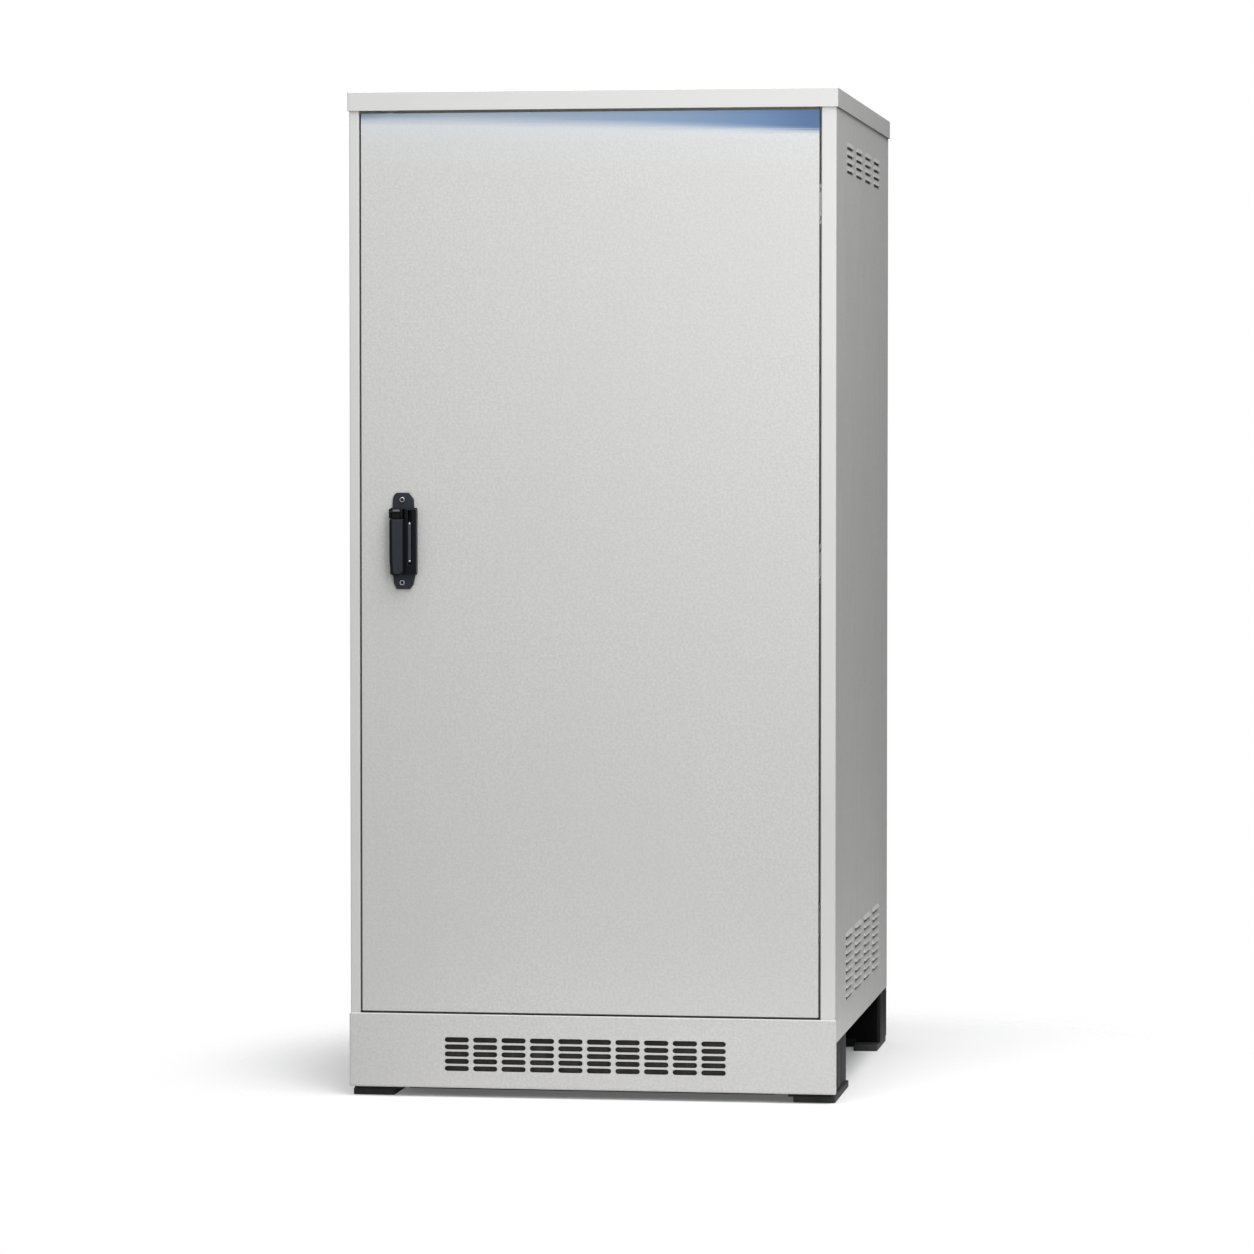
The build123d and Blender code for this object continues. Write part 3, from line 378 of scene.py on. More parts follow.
def louvre_pattern():
    """Pressed louvres in rows and columns: hoods with short sloping ends, open along their lower edge."""
    lengths = ("Column pitch", "Row pitch", "Length", "Rise", "Reach", "Bulge", "Front slope", "Rear slope")
    p = Pattern("pressed_louvres", {"Columns": "Int", "Rows": "Int", **dict.fromkeys(lengths, "Float")})
    length, rise, reach = p.size("Length"), p.size("Rise"), p.size("Reach")
    flat = p.grid(length, rise, *HOOD_GRID)
    spot = p.node("GeometryNodeInputPosition")
    x, y = (p.node("ShaderNodeSeparateXYZ", None, {"Vector": spot}, name) for name in "XY")
    up = p.maths("MINIMUM", p.maths("MAXIMUM", y / rise + 0.5, 0.0), 1.0)
    front = p.maths("MAXIMUM", 1 - (x + length / 2) / p.size("Front slope"), 0.0)
    rear = p.maths("MAXIMUM", 1 - (length / 2 - x) / p.size("Rear slope"), 0.0)
    arch = p.maths("MAXIMUM", 1 - up ** p.size("Bulge"), 0.0)
    shoulder = p.maths("MAXIMUM", 1 - front ** 2, 0.0) * p.maths("MAXIMUM", 1 - rear ** 2, 0.0)
    lifted = p.node("ShaderNodeCombineXYZ", None, {"X": x, "Y": y, "Z": reach * arch * shoulder})
    hood = p.node("GeometryNodeSetPosition", None, {"Geometry": flat, "Position": lifted})
    columns, rows = p.size("Columns"), p.size("Rows")
    across, high = p.size("Column pitch") * (columns - 1), p.size("Row pitch") * (rows - 1)
    return p.close(p.grid(across, high, columns, rows), hood)


def spot_pattern():
    """One unit at every vertex of a base mesh."""
    p = Pattern("units_on_spots", {"Unit": "Object"})
    unit = p.node("GeometryNodeObjectInfo", None, {"Object": p.size("Unit")}, "Geometry")
    return p.close(p.size("Base"), unit)


LOUVRES = louvre_pattern()
SPOTS = spot_pattern()


# ---- shapes ----
def finished_mesh(shape):
    bmesh.ops.recalc_face_normals(shape, faces=shape.faces)
    mesh = bpy.data.meshes.new("shape")
    shape.to_mesh(mesh)
    shape.free()
    return mesh


def lofted(loops, ring=False):
    """A closed shape through loops of equal length, with its ends filled, or joined in a ring."""
    shape = bmesh.new()
    rows = [[shape.verts.new(spot) for spot in loop] for loop in loops]
    if ring:
        rows.append(rows[0])
    else:
        shape.faces.new(rows[0][::-1])
        shape.faces.new(rows[-1])
    for low, high in zip(rows, rows[1:]):
        for step in range(len(low)):
            after = (step + 1) % len(low)
            shape.faces.new((low[step], low[after], high[after], high[step]))
    return finished_mesh(shape)


def ringed(rings, count=24, ring=False):
    """A closed turned shape through rings, each a height and a radius, or a radius by angle."""
    angles = [2 * math.pi * step / count for step in range(count)]
    loops = []
    for height, radius in rings:
        reach = [radius(angle) if callable(radius) else radius for angle in angles]
        loops.append([(r * math.cos(a), r * math.sin(a), height) for r, a in zip(reach, angles)])
    return lofted(loops, ring)


def turned(rings, count=24):
    """A closed turned shape, given in millimetres."""
    mesh = ringed(rings, count)
    mesh.transform(Matrix.Scale(MM, 4))
    return mesh


def rounded_loop(x0, x1, y0, y1, z, radius, arc=4):
    """A rounded rectangle at height z."""
    left, right, near, far = x0 + radius, x1 - radius, y0 + radius, y1 - radius
    middles = ((right, near), (right, far), (left, far), (left, near))
    loop = []
    for quarter, (x, y) in enumerate(middles):
        for step in range(arc + 1):
            angle = math.pi / 2 * (quarter - 1 + step / arc)
            loop.append((x + radius * math.cos(angle), y + radius * math.sin(angle), z))
    return loop


def inset_loop(low, high, inset, z, corner):
    """The outline of a box at height z, drawn in by an inset."""
    sides = (low[0] + inset, high[0] - inset, low[1] + inset, high[1] - inset)
    return rounded_loop(*sides, z, max(corner - inset, 0.2 * MM))


QUARTER = [math.pi / 8 * step for step in range(5)]


def rounded_top(low, high, corner, edge):
    """The loops that round a box over at its top."""
    return [
        inset_loop(low, high, edge * (1 - math.cos(a)), high[2] - edge * (1 - math.sin(a)), corner)
        for a in QUARTER
    ]


def block(low, high, corner, top, bottom=0.0):
    """A block with rounded upright edges and a rounded top, and a rounded bottom if wanted."""
    loops = [
        inset_loop(low, high, bottom * (1 - math.cos(a)), low[2] + bottom * (1 - math.sin(a)), corner)
        for a in (QUARTER[::-1] if bottom else [0.0])
    ]
    return lofted(loops + rounded_top(low, high, corner, top))


def tray(low, high, wall, corner, edge, flat=True):
    """An upturned tray with rounded folds, or only its walls and fold, without the flat between them."""
    loops = [
        inset_loop(low, high, wall if flat else edge, high[2] - wall, corner),
        inset_loop(low, high, wall, low[2], corner),
        inset_loop(low, high, 0, low[2], corner),
    ]
    return lofted(loops + rounded_top(low, high, corner, edge), ring=not flat)


def hexagon(across):
    """Radius of a hexagon by angle, given its width across flats."""
    return lambda angle: across / 2 / math.cos((angle + math.pi / 6) % (math.pi / 3) - math.pi / 6)


def crossed(reach, width):
    """Radius of a cross recess by angle."""

    def radius(angle):
        off = abs((angle + math.pi / 4) % (math.pi / 2) - math.pi / 4)
        return min(reach, width / 2 / max(math.sin(off), 1e-6))

    return radius


def drawn(dimensions, *lines, **sizes):
    """The mesh of a curve along lines of straight steps, which are closed if it is flat."""
    curve = given(bpy.data.curves.new("drawn", "CURVE"), dimensions=dimensions, **sizes)
    for line in lines:
        spline = curve.splines.new("POLY")
        spline.points.add(len(line) - 1)
        for point, spot in zip(spline.points, line):
            point.co = Vector(spot).to_4d()
        spline.use_cyclic_u = dimensions == "2D"
    return applied(placed("drawn", curve))


def plate(outline, holes, thickness, rim=0.0):
    """A flat sheet in XY with holes, its top at Z 0 and its edges rounded by rim."""
    sizes = {"extrude": thickness / 2 - rim, "bevel_depth": rim, "bevel_resolution": 2, "offset": -rim}
    return moved(drawn("2D", outline, *holes, fill_mode="BOTH", **sizes), 0, 0, -thickness / 2)


def rectangle(x0, x1, y0, y1):
    return [(x0, y0), (x1, y0), (x1, y1), (x0, y1)]


def slot_hole(x, y, length, height, count=5):
    """A slot with round ends, centred on a point."""
    radius = height / 2
    reach = length / 2 - radius
    turns = [math.pi * (step / count - 0.5) for step in range(count + 1)]
    right = [(x + reach + radius * math.cos(a), y + radius * math.sin(a)) for a in turns]
    left = [(x - reach - radius * math.cos(a), y - radius * math.sin(a)) for a in turns]
    return right + left


def turned_corner(before, corner, after, radius, arc=4):
    """Points of an arc that rounds a corner between two straight runs."""
    a, b = (before - corner).normalized(), (after - corner).normalized()
    reach = radius / math.tan(a.angle(b) / 2)
    start, end = corner + a * reach, corner + b * reach
    centre = corner + (a + b).normalized() * (radius / math.sin(a.angle(b) / 2))
    spokes = [(start - centre).lerp(end - centre, step / arc) for step in range(arc + 1)]
    return [centre + spoke.normalized() * radius for spoke in spokes]


def softened(outline, radius):
    """A closed outline in millimetres, with its corners rounded, in metres."""
    points = [Vector(point) for point in outline]
    after = points[1:] + points[:1]
    before = points[-1:] + points[:-1]
    return [spot * MM for corner in zip(before, points, after) for spot in turned_corner(*corner, radius)]


def moved(mesh, *step):
    mesh.transform(Matrix.Translation(step))
    return mesh


def on_spots(finish, model, spots):
    """A copy of the model on each spot."""
    base = bpy.data.meshes.new("spots")
    base.from_pydata([tuple(spot) for spot in spots], [], [])
    unit = placed("unit", model)
    copies = SPOTS.made(finish, base=base, unit=unit)
    bpy.data.objects.remove(unit)
    return copies


def pointing(way):
    """The turn of a piece whose axis is Z, so that it points a way."""
    return Vector(way).to_track_quat("Z", "X").to_matrix().to_4x4()


def joined(meshes):
    shape = bmesh.new()
    for mesh in meshes:
        shape.from_mesh(mesh)
    mesh = bpy.data.meshes.new("joined")
    shape.to_mesh(mesh)
    shape.free()
    return mesh


def bent(line, radius, arc=4):
    """The points of a line whose inner corners are rounded."""
    points = [Vector(point) for point in line]
    path = [points[0]]
    for corner in zip(points, points[1:], points[2:]):
        path += turned_corner(*corner, radius, arc)
    return [*path, points[-1]]


def folded_sheet(line, low, high):
    """A sheet that follows a plan line of its middle surface, with rounded folds, from low to high."""
    path = bent(line, 1.6 * MM)
    loops = []
    for index, spot in enumerate(path):
        run = (path[min(index + 1, len(path) - 1)] - path[max(index - 1, 0)]).normalized()
        off = Vector((-run.y, run.x)) * SHEET / 2
        corners = ((spot + off, low), (spot + off, high), (spot - off, high), (spot - off, low))
        loops.append([(*flat, z) for flat, z in corners])
    return lofted(loops)


# ---- pieces ----
def flattened(thing):
    """The mesh of an object with its normals weighted by area, so broad faces stay flat."""
    given(thing.modifiers.new("Flat faces", "WEIGHTED_NORMAL"), weight=100, keep_sharp=True)
    return applied(thing)


def settle(name, meshes, slot, stands_for=(), finish=None, smooth=40, body="cabinet"):
    """Put finished meshes into the scene as one piece of a body."""
    mesh = joined(meshes) if isinstance(meshes, list) else meshes
    if finish or not mesh.materials:
        mesh.materials.clear()
        mesh.materials.append(FINISHES[finish or slot])
    if smooth:
        mesh.shade_smooth()
        mesh.set_sharp_from_angle(angle=math.radians(smooth))
        mesh = flattened(placed("piece", mesh))
    mesh.name = name
    thing = placed(name, mesh)
    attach(thing, body)
    if stands_for:
        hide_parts(*stands_for)
    return thing


WELD, LOOSE_WELD = 0.02 * MM, 0.01 * MM
TOUCH = 0.05 * MM
NEARLY_FLAT, SHARP = math.radians(0.2), math.radians(30)


def eased(mesh, fold, cut):
    """The mesh with rounded edges: fold on the outermost folds, cut on the other sharp edges."""
    shape = bmesh.new()
    shape.from_mesh(mesh)
    bmesh.ops.remove_doubles(shape, verts=shape.verts, dist=WELD)
    bmesh.ops.dissolve_limit(shape, angle_limit=NEARLY_FLAT, verts=shape.verts, edges=shape.edges)
    low = [min(v.co[i] for v in shape.verts) for i in range(3)]
    high = [max(v.co[i] for v in shape.verts) for i in range(3)]
    weight = shape.edges.layers.float.new("bevel_weight_edge")
    for edge in shape.edges:
        if len(edge.link_faces) != 2 or edge.calc_face_angle(0) < SHARP:
            continue
        ends = [v.co for v in edge.verts]
        outer = sum(
            all(abs(co[i] - limit) < TOUCH for co in ends) for i in range(3) for limit in (low[i], high[i])
        )
        edge[weight] = 1.0 if outer > 1 else cut / fold
    made = bpy.data.meshes.new("eased")
    shape.to_mesh(made)
    shape.free()
    thing = placed("eased", made)
    bevel = thing.modifiers.new("Folds", "BEVEL")
    given(bevel, limit_method="WEIGHT", width=fold, segments=3, use_clamp_overlap=False)
    made.shade_smooth()
    return flattened(thing)


def loose_parts(node):
    """The low and high corners of each separate body in a CAD piece."""
    shape = bmesh.new()
    shape.from_mesh(NODES[node].data)
    bmesh.ops.remove_doubles(shape, verts=shape.verts, dist=LOOSE_WELD)
    left = set(shape.verts)
    boxes = []
    while left:
        reached, body = [left.pop()], []
        while reached:
            vert = reached.pop()
            body.append(tuple(vert.co))
            near = {edge.other_vert(vert) for edge in vert.link_edges} & left
            left -= near
            reached += near
        boxes.append(tuple(Vector(side(axis) for axis in zip(*body)) for side in (min, max)))
    shape.free()
    return sorted(boxes, key=lambda box: [round(value, 4) for value in box[0]])


for node, thing in NODES.items():
    thing.data.materials.clear()
    thing.data.materials.append(FINISHES["handle_black" if node == "lever_pin" else SLOT_OF[node]])

# radius of the outermost folds and of other edges, finish where it isn't the slot's own, and the nodes;
# wider folds on the door would reach the hinge brackets at its notches
EASED = (
    (1.1, 0.3, "door_coat", ("door_panel",)),
    (1.5, 0.6, None, ("base_front_beam", "base_side_rails")),
    # the rear beam takes the darker black, as painted shade
    (1.5, 0.6, "beam_black", ("base_rear_beam",)),
    (0.5, 0.4, None, (
        "rear_panel", "breaker_plate", "floor_plate", "gland_plate", "lock_case", "lock_disc",
    )),
    (1.0, 0.6, None, (
        "door_stiffener_left", "door_stiffener_right", "door_sill", "header_rail", "top_rear_rail",
        "top_side_rails",
    )),
    (2.0, 0.5, None, ("front_post_left", "front_post_right", "rear_post_left", "rear_post_right")),
    (0.5, 0.4, None, (
        "rod_upper", "rod_lower", "hinge_leaves", "hinge_brackets", "rod_guides", "earth_bar",
        "battery_links",
    )),
    (1.2, 0.8, None, ("output_terminals", "breaker_toggle")),
)
for fold, cut, finish, nodes in EASED:
    for node in nodes:
        mesh = eased(NODES[node].data, fold * MM, cut * MM)
        slot = SLOT_OF[node]
        settle(node + "_finished", mesh, slot, (node,), finish or slot, 0, BODY_OF[node])

for node in ("front_foot_pads", "rear_foot_pads"):
    pads = [block(low, high, 3 * MM, 1.2 * MM, 0.6 * MM) for low, high in loose_parts(node)]
    settle(node + "_finished", pads, "foot_rubber", (node,))

SHEET = 1.5 * MM
SIDE = 450 * MM


def rear_leg_plates():
    """Plates that bring the rear legs flush with the side covers, and a black strip in the gap under the
    beam, which paints the shade there.
    """
    low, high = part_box("base_rear_beam")
    plates = []
    for side in (-1, 1):
        inner, outer = sorted((side * (high.x - MM), side * (SIDE - 0.5 * MM)))
        plates.append(block((inner, low.y, low.z), (outer, high.y, 108.5 * MM), 2 * MM, MM, MM))
    # painted shade: a black strip fills the gap under the rear beam, where the floor lies in shadow
    reach = high.x - 40 * MM
    plates.append(block((-reach, low.y + MM, 2 * MM), (reach, low.y + 4 * MM, 22 * MM), MM, 0.6 * MM))
    settle("rear_leg_plates", plates, "black_coat")


rear_leg_plates()
cap = tray(*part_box("top_cap"), SHEET, 3 * MM, 2.2 * MM)
settle("top_cap_finished", cap, "grey_coat", ("top_cap",), smooth=35)


# ---- side panels ----
FRONT, REAR = (corner.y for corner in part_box("side_panel_right"))
LOUVRE_LENGTH = 115 * MM
LOUVRE_COLUMNS = 4
LOUVRE_PITCH = 170 * MM
LOUVRE_MIDDLE = 12.5 * MM
# rows, middle height, row pitch, slit below the lip, and each hood's rise, reach, bulge, and front and
# rear slope
LOUVRE_GROUPS = (
    (4, 1.7315, 14.6 * MM, 4.8 * MM, 8.4 * MM, 1.6 * MM, 1.1, 5 * MM, 3 * MM),
    (8, 0.233, 16 * MM, 6.2 * MM, 7.8 * MM, 3.3 * MM, 1.0, 4 * MM, 3 * MM),
)


def side_panel(name, node, side, strip):
    """A folded side cover: a front strip, a rear return and two groups of pressed louvres."""
    low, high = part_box(node)
    fold = 10 * MM
    middle = SHEET / 2
    face_x = side * (SIDE - middle)
    edge_x = side * (SIDE - strip + middle)
    inner_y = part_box("front_post_right")[0].y
    sill = 154.5 * MM
    toe = [(face_x, FRONT + fold), (face_x, FRONT + middle), (edge_x, FRONT + middle)]
    back = [(face_x, REAR - fold), (face_x, REAR - middle), (side * (SIDE - 30 * MM), REAR - middle)]
    parts = [
        folded_sheet([*toe, (edge_x, inner_y)], sill, high.z), folded_sheet(toe, low.z, sill),
        folded_sheet(back, low.z, high.z),
    ]
    # the flat face lies in XY until it is turned to the cabinet's side
    turn = Matrix(((0, 0, side, 0), (side, 0, 0, 0), (0, 1, 0, 0), (0, 0, 0, 1)))
    far, near = sorted((side * (SIDE - SHEET - 0.2 * MM), side * (SIDE - SHEET - 3 * MM)))
    half = LOUVRE_PITCH * (LOUVRE_COLUMNS - 1) / 2 + LOUVRE_LENGTH * 0.7
    holes, mats = [], []
    for rows, height, pitch, slit, rise, reach, bulge, *slopes in LOUVRE_GROUPS:
        tall = pitch * rows / 2 + 12 * MM
        corners = (far, LOUVRE_MIDDLE - half, height - tall), (near, LOUVRE_MIDDLE + half, height + tall)
        mats.append(block(*corners, MM, 0.5 * MM))
        # the sense of front and rear along the sheet depends on the side
        slopes = slopes[::side]
        hoods = LOUVRES.made(
            "grey_coat", wall=1.1 * MM, columns=LOUVRE_COLUMNS, rows=rows, column_pitch=LOUVRE_PITCH,
            row_pitch=pitch, length=LOUVRE_LENGTH, rise=rise, reach=reach, bulge=bulge,
            front_slope=slopes[0], rear_slope=slopes[1],
        )
        lip = height - 0.6 * MM
        hoods.transform(Matrix.Translation((side * SIDE, LOUVRE_MIDDLE, lip + rise / 2)) @ turn)
        parts.append(hoods)
        for column in range(LOUVRE_COLUMNS):
            across = side * (LOUVRE_MIDDLE + (column - (LOUVRE_COLUMNS - 1) / 2) * LOUVRE_PITCH)
            # the slit stops short of the hood's ends, further at the rear
            reaches = (MM - LOUVRE_LENGTH / 2, LOUVRE_LENGTH / 2 - 11 * MM)
            slit_ends = sorted(across + side * reach for reach in reaches)
            for row in range(rows):
                low_edge = lip + (row - (rows - 1) / 2) * pitch - slit
                holes.append(rectangle(*slit_ends, low_edge, low_edge + slit + 2.9 * MM))
    ends = sorted((side * (FRONT + fold), side * (REAR - fold)))
    face = plate(rectangle(*ends, low.z, high.z), holes, SHEET)
    face.transform(Matrix.Translation((side * SIDE, 0, 0)) @ turn)
    parts.append(face)
    settle(name, parts, "grey_coat", (node,), "grey_coat", 35)
    settle(name + "_filters", mats, "gasket_foam", finish="filter_mat")


side_panel("side_cover_left", "side_panel_left", -1, 18.5 * MM)
side_panel("side_cover_right", "side_panel_right", 1, 27.5 * MM)

# ---- fasteners ----
MIDDLE = Vector((0.0, 0.0, 0.9))


def scaled(head, radius, *shares):
    """Rings of a screw's head, given as shares of its height and radius."""
    return [(head * up, radius * out) for up, out in shares]


def pan_screw(radius, head, length):
    """A pan-head screw with a cross recess, its seat at Z 0."""
    recess = crossed(radius * 0.52, radius * 0.24)
    return ringed([
        (-length, radius * 0.3), (-length * 0.9, radius * 0.5),
        *scaled(head, radius, (0, 0.5), (0, 1), (0.3, 1), (0.65, 0.93), (0.9, 0.76), (1, 0.58)),
        (head * 0.97, recess), (head * 0.4, lambda angle: recess(angle) * 0.8),
    ])


def socket_screw(radius, head, length):
    """A button-head screw with a hexagon socket and a rounded rim."""
    socket = hexagon(radius * 0.86)
    return ringed([
        (-length, radius * 0.3),
        *scaled(head, radius, (0, 0.5), (0, 0.9), (0.2, 1), (0.55, 1), (0.85, 0.9), (1, 0.74), (1, 0.56)),
        (head * 0.9, socket), (head * 0.2, lambda angle: socket(angle) * 0.96),
    ], 36)


def painted_rim_highlight(radius, head, length):
    """A bright ring round the top of a button head, which paints a highlight on its rim."""
    shares = (0.55, 0.99), (0.9, 0.93), (1.06, 0.80), (1.04, 0.66), (0.8, 0.62), (0.5, 0.8)
    return ringed(scaled(head, radius, *shares), 36, ring=True)


def hex_bolt(radius, head, length):
    """A hexagon bolt on a washer."""
    flats = hexagon(radius * math.sqrt(3))
    return ringed([
        (-length, radius * 0.4), (-length * 0.9, radius * 0.55), (0, radius * 0.55), (0, radius * 0.98),
        (head * 0.2, radius * 0.98), (head * 0.2, lambda angle: flats(angle) * 0.97), (head * 0.88, flats),
        (head, radius * 0.82), (head, radius * 0.5), (head * 0.92, radius * 0.46),
    ])


def terminal_post(radius, head, length):
    """A round post with a washer and a bolt that clamps a 3 mm bar to it."""
    radius, length = radius / MM, length / MM
    flats = hexagon(13)
    return turned([
        (-length, radius), (-0.5, radius), (0, radius - 0.5), (0, radius * 0.5), (3, radius * 0.5),
        (3, radius * 0.95), (4.2, radius * 0.95), (4.2, flats), (8.6, flats),
        (9.2, radius * 0.7), (9.2, radius * 0.42), (8.8, radius * 0.38),
    ])


def fasteners(node, unit, head=0.0, out=0, finish=None, extra=""):
    """Screws in place of a CAD piece's bodies. Their heads point away from the cabinet's middle, unless out
    says which way. An extra name makes a second piece on the same screws, such as the rings that paint
    highlights on their rims."""
    groups = {}
    for low, high in loose_parts(node):
        size, spot = high - low, (low + high) / 2
        usual = sorted(size)[1]
        axis = max(range(3), key=lambda i: abs(size[i] - usual))
        way = out or (1 if spot[axis] > MIDDLE[axis] else -1)
        spot[axis] = (high if way > 0 else low)[axis] - way * head
        groups.setdefault((axis, way, round(usual / 2, 4), round(size[axis] - head, 4)), []).append(spot)
    parts = []
    for (axis, way, radius, length), spots in groups.items():
        model = unit(radius, head, length)
        model.transform(pointing([way if i == axis else 0 for i in range(3)]))
        parts.append(on_spots(finish or SLOT_OF[node], model, spots))
    name, stands_for = (node + extra, ()) if extra else (node + "_finished", (node,))
    settle(name, parts, SLOT_OF[node], stands_for, finish, body=BODY_OF[node])


fasteners("cover_screws", pan_screw, 3 * MM)
fasteners("hinge_screws", pan_screw, 2.5 * MM)
fasteners("handle_screws", socket_screw, 3 * MM)
# painted highlight: bright zinc rings on the handle screws' rims
fasteners("handle_screws", painted_rim_highlight, 3 * MM, finish="zinc_steel", extra="_rims")
fasteners("foot_bolts", hex_bolt, 6.5 * MM, out=1, finish="dark_screw")
fasteners("battery_terminals", terminal_post, out=1)


# ---- pieces that face the front ----
FACING = Matrix(((1, 0, 0, 0), (0, 0, -1, 0), (0, 1, 0, 0), (0, 0, 0, 1)))


def facing(mesh, height=0.0):
    """A mesh drawn as seen from the front, raised from the door's face by a height."""
    mesh.transform(Matrix.Translation((0, DOOR_FACE - height, 0)) @ FACING)
    return mesh


def raised(outline, thickness, edge, height, *holes):
    """A sheet whose top is at a height above the door's face, with its sizes in millimetres."""
    return facing(plate(outline, holes, thickness * MM, edge * MM), height * MM)


def turned_front(x, z, height, rings, count=24):
    """A turned shape that points forward, its foot at a height above the door's face, in millimetres."""
    return facing(moved(turned(rings, count), x * MM, z * MM, 0), height * MM)


def upright(low, high, corner, top, bottom=0.0):
    """A rounded block on the door's face, given as seen from the front in millimetres, height last."""
    return facing(block(Vector(low) * MM, Vector(high) * MM, corner * MM, top * MM, bottom * MM))


def kick_plate():
    """The plinth's front: a shallow tray with rows of slots, and its screwed flange below."""
    low, high = (-452 * MM, 17.4 * MM, 0), (452 * MM, 154 * MM, 3 * MM)
    fold = 2.4 * MM
    slots = [
        slot_hole((-12 + column * 53) * MM, (80 + row * 13.25) * MM, 45.5 * MM, 9.5 * MM)
        for column in [step - 4.5 for step in range(10)] for row in range(-2, 3)
    ]
    front = plate(inset_loop(low, high, fold, 0, 3 * MM), slots, SHEET, 0.25 * MM)
    rim = tray(low, high, SHEET, 3 * MM, fold, flat=False)
    flange = upright((-340, 17.4, -28), (340, 18.9, 1), 3, 0.5)
    parts = [facing(moved(front, 0, 0, high[2])), facing(rim), flange]
    settle("kick_plate_finished", parts, "grey_coat", ("kick_plate",), "door_coat")


kick_plate()
# painted shade: a near-black mat behind the kick plate's slots stands in for the shade inside the plinth
shade_sheet = upright((-285, 46, -6), (261, 114, -3), 2, 0.5)
settle("slot_screen", shade_sheet, "gasket_foam", finish="slot_mesh", smooth=35)

# ---- handle ----
LEVER_X = -359.5
RIDGE = (-345.5, -323.0)
SLOT_X = -335.4
BASE_LOW, BASE_HIGH = 963.5, 1086.5


def handle_escutcheon():
    """The moulded base: a dish for the lever, a ridge with the slide's channel, and two screwed tabs."""
    top_tab = softened([
        (-369.5, BASE_HIGH - 6), (-368.3, 1104), (-366, 1110), (-361.5, 1114.4), (-338.5, 1114.4),
        (-329.5, 1103), (-328.3, BASE_HIGH - 6),
    ], 1.2)
    low_tab = softened([
        (-369.3, BASE_LOW + 6), (-366.3, 947), (-361.5, 937.3), (-336.5, 937.3), (-330.5, 945),
        (-325, BASE_LOW + 6),
    ], 1.2)
    channel = softened(rectangle(SLOT_X - 2.9, SLOT_X + 2.9, 983, 1081.5), 1.2)
    ridge = softened(rectangle(*RIDGE, BASE_LOW + 2, BASE_HIGH - 2), 2.5)
    rim = softened(rectangle(-373.3, RIDGE[0] + 1, BASE_LOW + 0.2, BASE_HIGH - 0.2), 2.5)
    well = softened(rectangle(-370.9, RIDGE[0] - 1.6, BASE_LOW + 2.8, BASE_HIGH - 2.8), 1.6)
    parts = [
        upright((-373.5, BASE_LOW, 0), (RIDGE[1], BASE_HIGH, 4), 3, 0.8),
        upright((-373.2, BASE_LOW + 0.3, 0), (RIDGE[0] + 1, BASE_HIGH - 0.3, 6.6), 3, 0.6),
        raised(rim, 8, 0.9, 8, well),
        raised(ridge, 15, 1.4, 15, channel),
    ]
    # painted light: the tabs take the lighter copy of the handle's black, as if lit from the front
    tabs = [raised(tab, 5, 1.2, 5) for tab in (top_tab, low_tab)]
    settle("handle_tabs", tabs, "handle_black", finish="handle_face", body="door")
    parts += [upright((SLOT_X - 7.6, z, 14), (SLOT_X + 7.6, z + 1.2, 14.9), 0.4, 0.3) for z in (973, 976)]
    settle("handle_escutcheon", parts, "handle_black", ("handle_base",), body="door")


def swing_lever():
    """The lever: a paddle with broad rounded borders, its neck, and the knuckle between the hub's ears."""
    middle, half = LEVER_X + 1.8, 13.5
    front, back = 28.0, 16.4
    outline = softened([
        (middle - half, 1066.5), (middle - half, 990), (middle - 11.3, 967), (middle - 7.5, 962.5),
        (middle + 9, 962.5), (middle + half, 967.5), (middle + half, 1066.5),
    ], 2.2)
    parts = [
        raised(outline, front - back - 0.3, 3.3, front - 0.3),
        upright((LEVER_X - 8.2, 1058, 17.5), (LEVER_X + 8.2, 1080, 24.0), 1.6, 1.6, 1.0),
        upright((LEVER_X - 8.2, 1066, 18.4), (LEVER_X + 8.2, 1084.6, 25.0), 2.0, 2.4, 1.5),
    ]
    settle("swing_lever", parts, "handle_black", ("handle_lever",), body="lever")
    # painted light: a thin pad on the paddle's front in the lighter copy of the handle's black
    left, right, foot, top = middle - half + 5.2, middle + half - 2.2, 965.6, 1063.8
    pad = softened([
        (left, top), (left + 1.2, 995), (left + 2.4, 970), (left + 4.4, foot), (right - 4, foot),
        (right - 0.6, 971), (right, top),
    ], 2.0)
    settle("lever_face", raised(pad, 1.2, 0.35, front), "handle_black", finish="handle_face", body="lever")
    # painted highlight: a light grey bar along the knuckle's top
    bar = upright((LEVER_X - 5.4, 1079.2, 24.0), (LEVER_X + 7.6, 1082.8, 25.8), 1.0, 0.9)
    settle("knuckle_bar", bar, "handle_black", finish="knuckle_grey", body="lever")


def handle_turret():
    """The turning hub: a stepped disc, the lever's two ears and the square spindle."""
    steps = [(0, 12.2), (0.8, 13), (4.6, 13), (5.6, 12.2), (6, 11)]
    spindle = [(0, 7), (14, 7)]
    parts = [turned_front(LEVER_X, 1073, 8.3, steps, 48), turned_front(LEVER_X, 1073, -6.5, spindle, 32)]
    for side in (-1, 1):
        near, far = sorted((LEVER_X + side * 8.7, LEVER_X + side * 12.6))
        parts.append(upright((near, 1067.5, 12.3), (far, 1084.8, 26), 1.0, 2.0))
    parts.append(upright((LEVER_X - 4, 1069, -13), (LEVER_X + 4, 1077, -5), 0.5, 0.3))
    settle("handle_turret", parts, "handle_black", ("handle_hub",), body="handle")


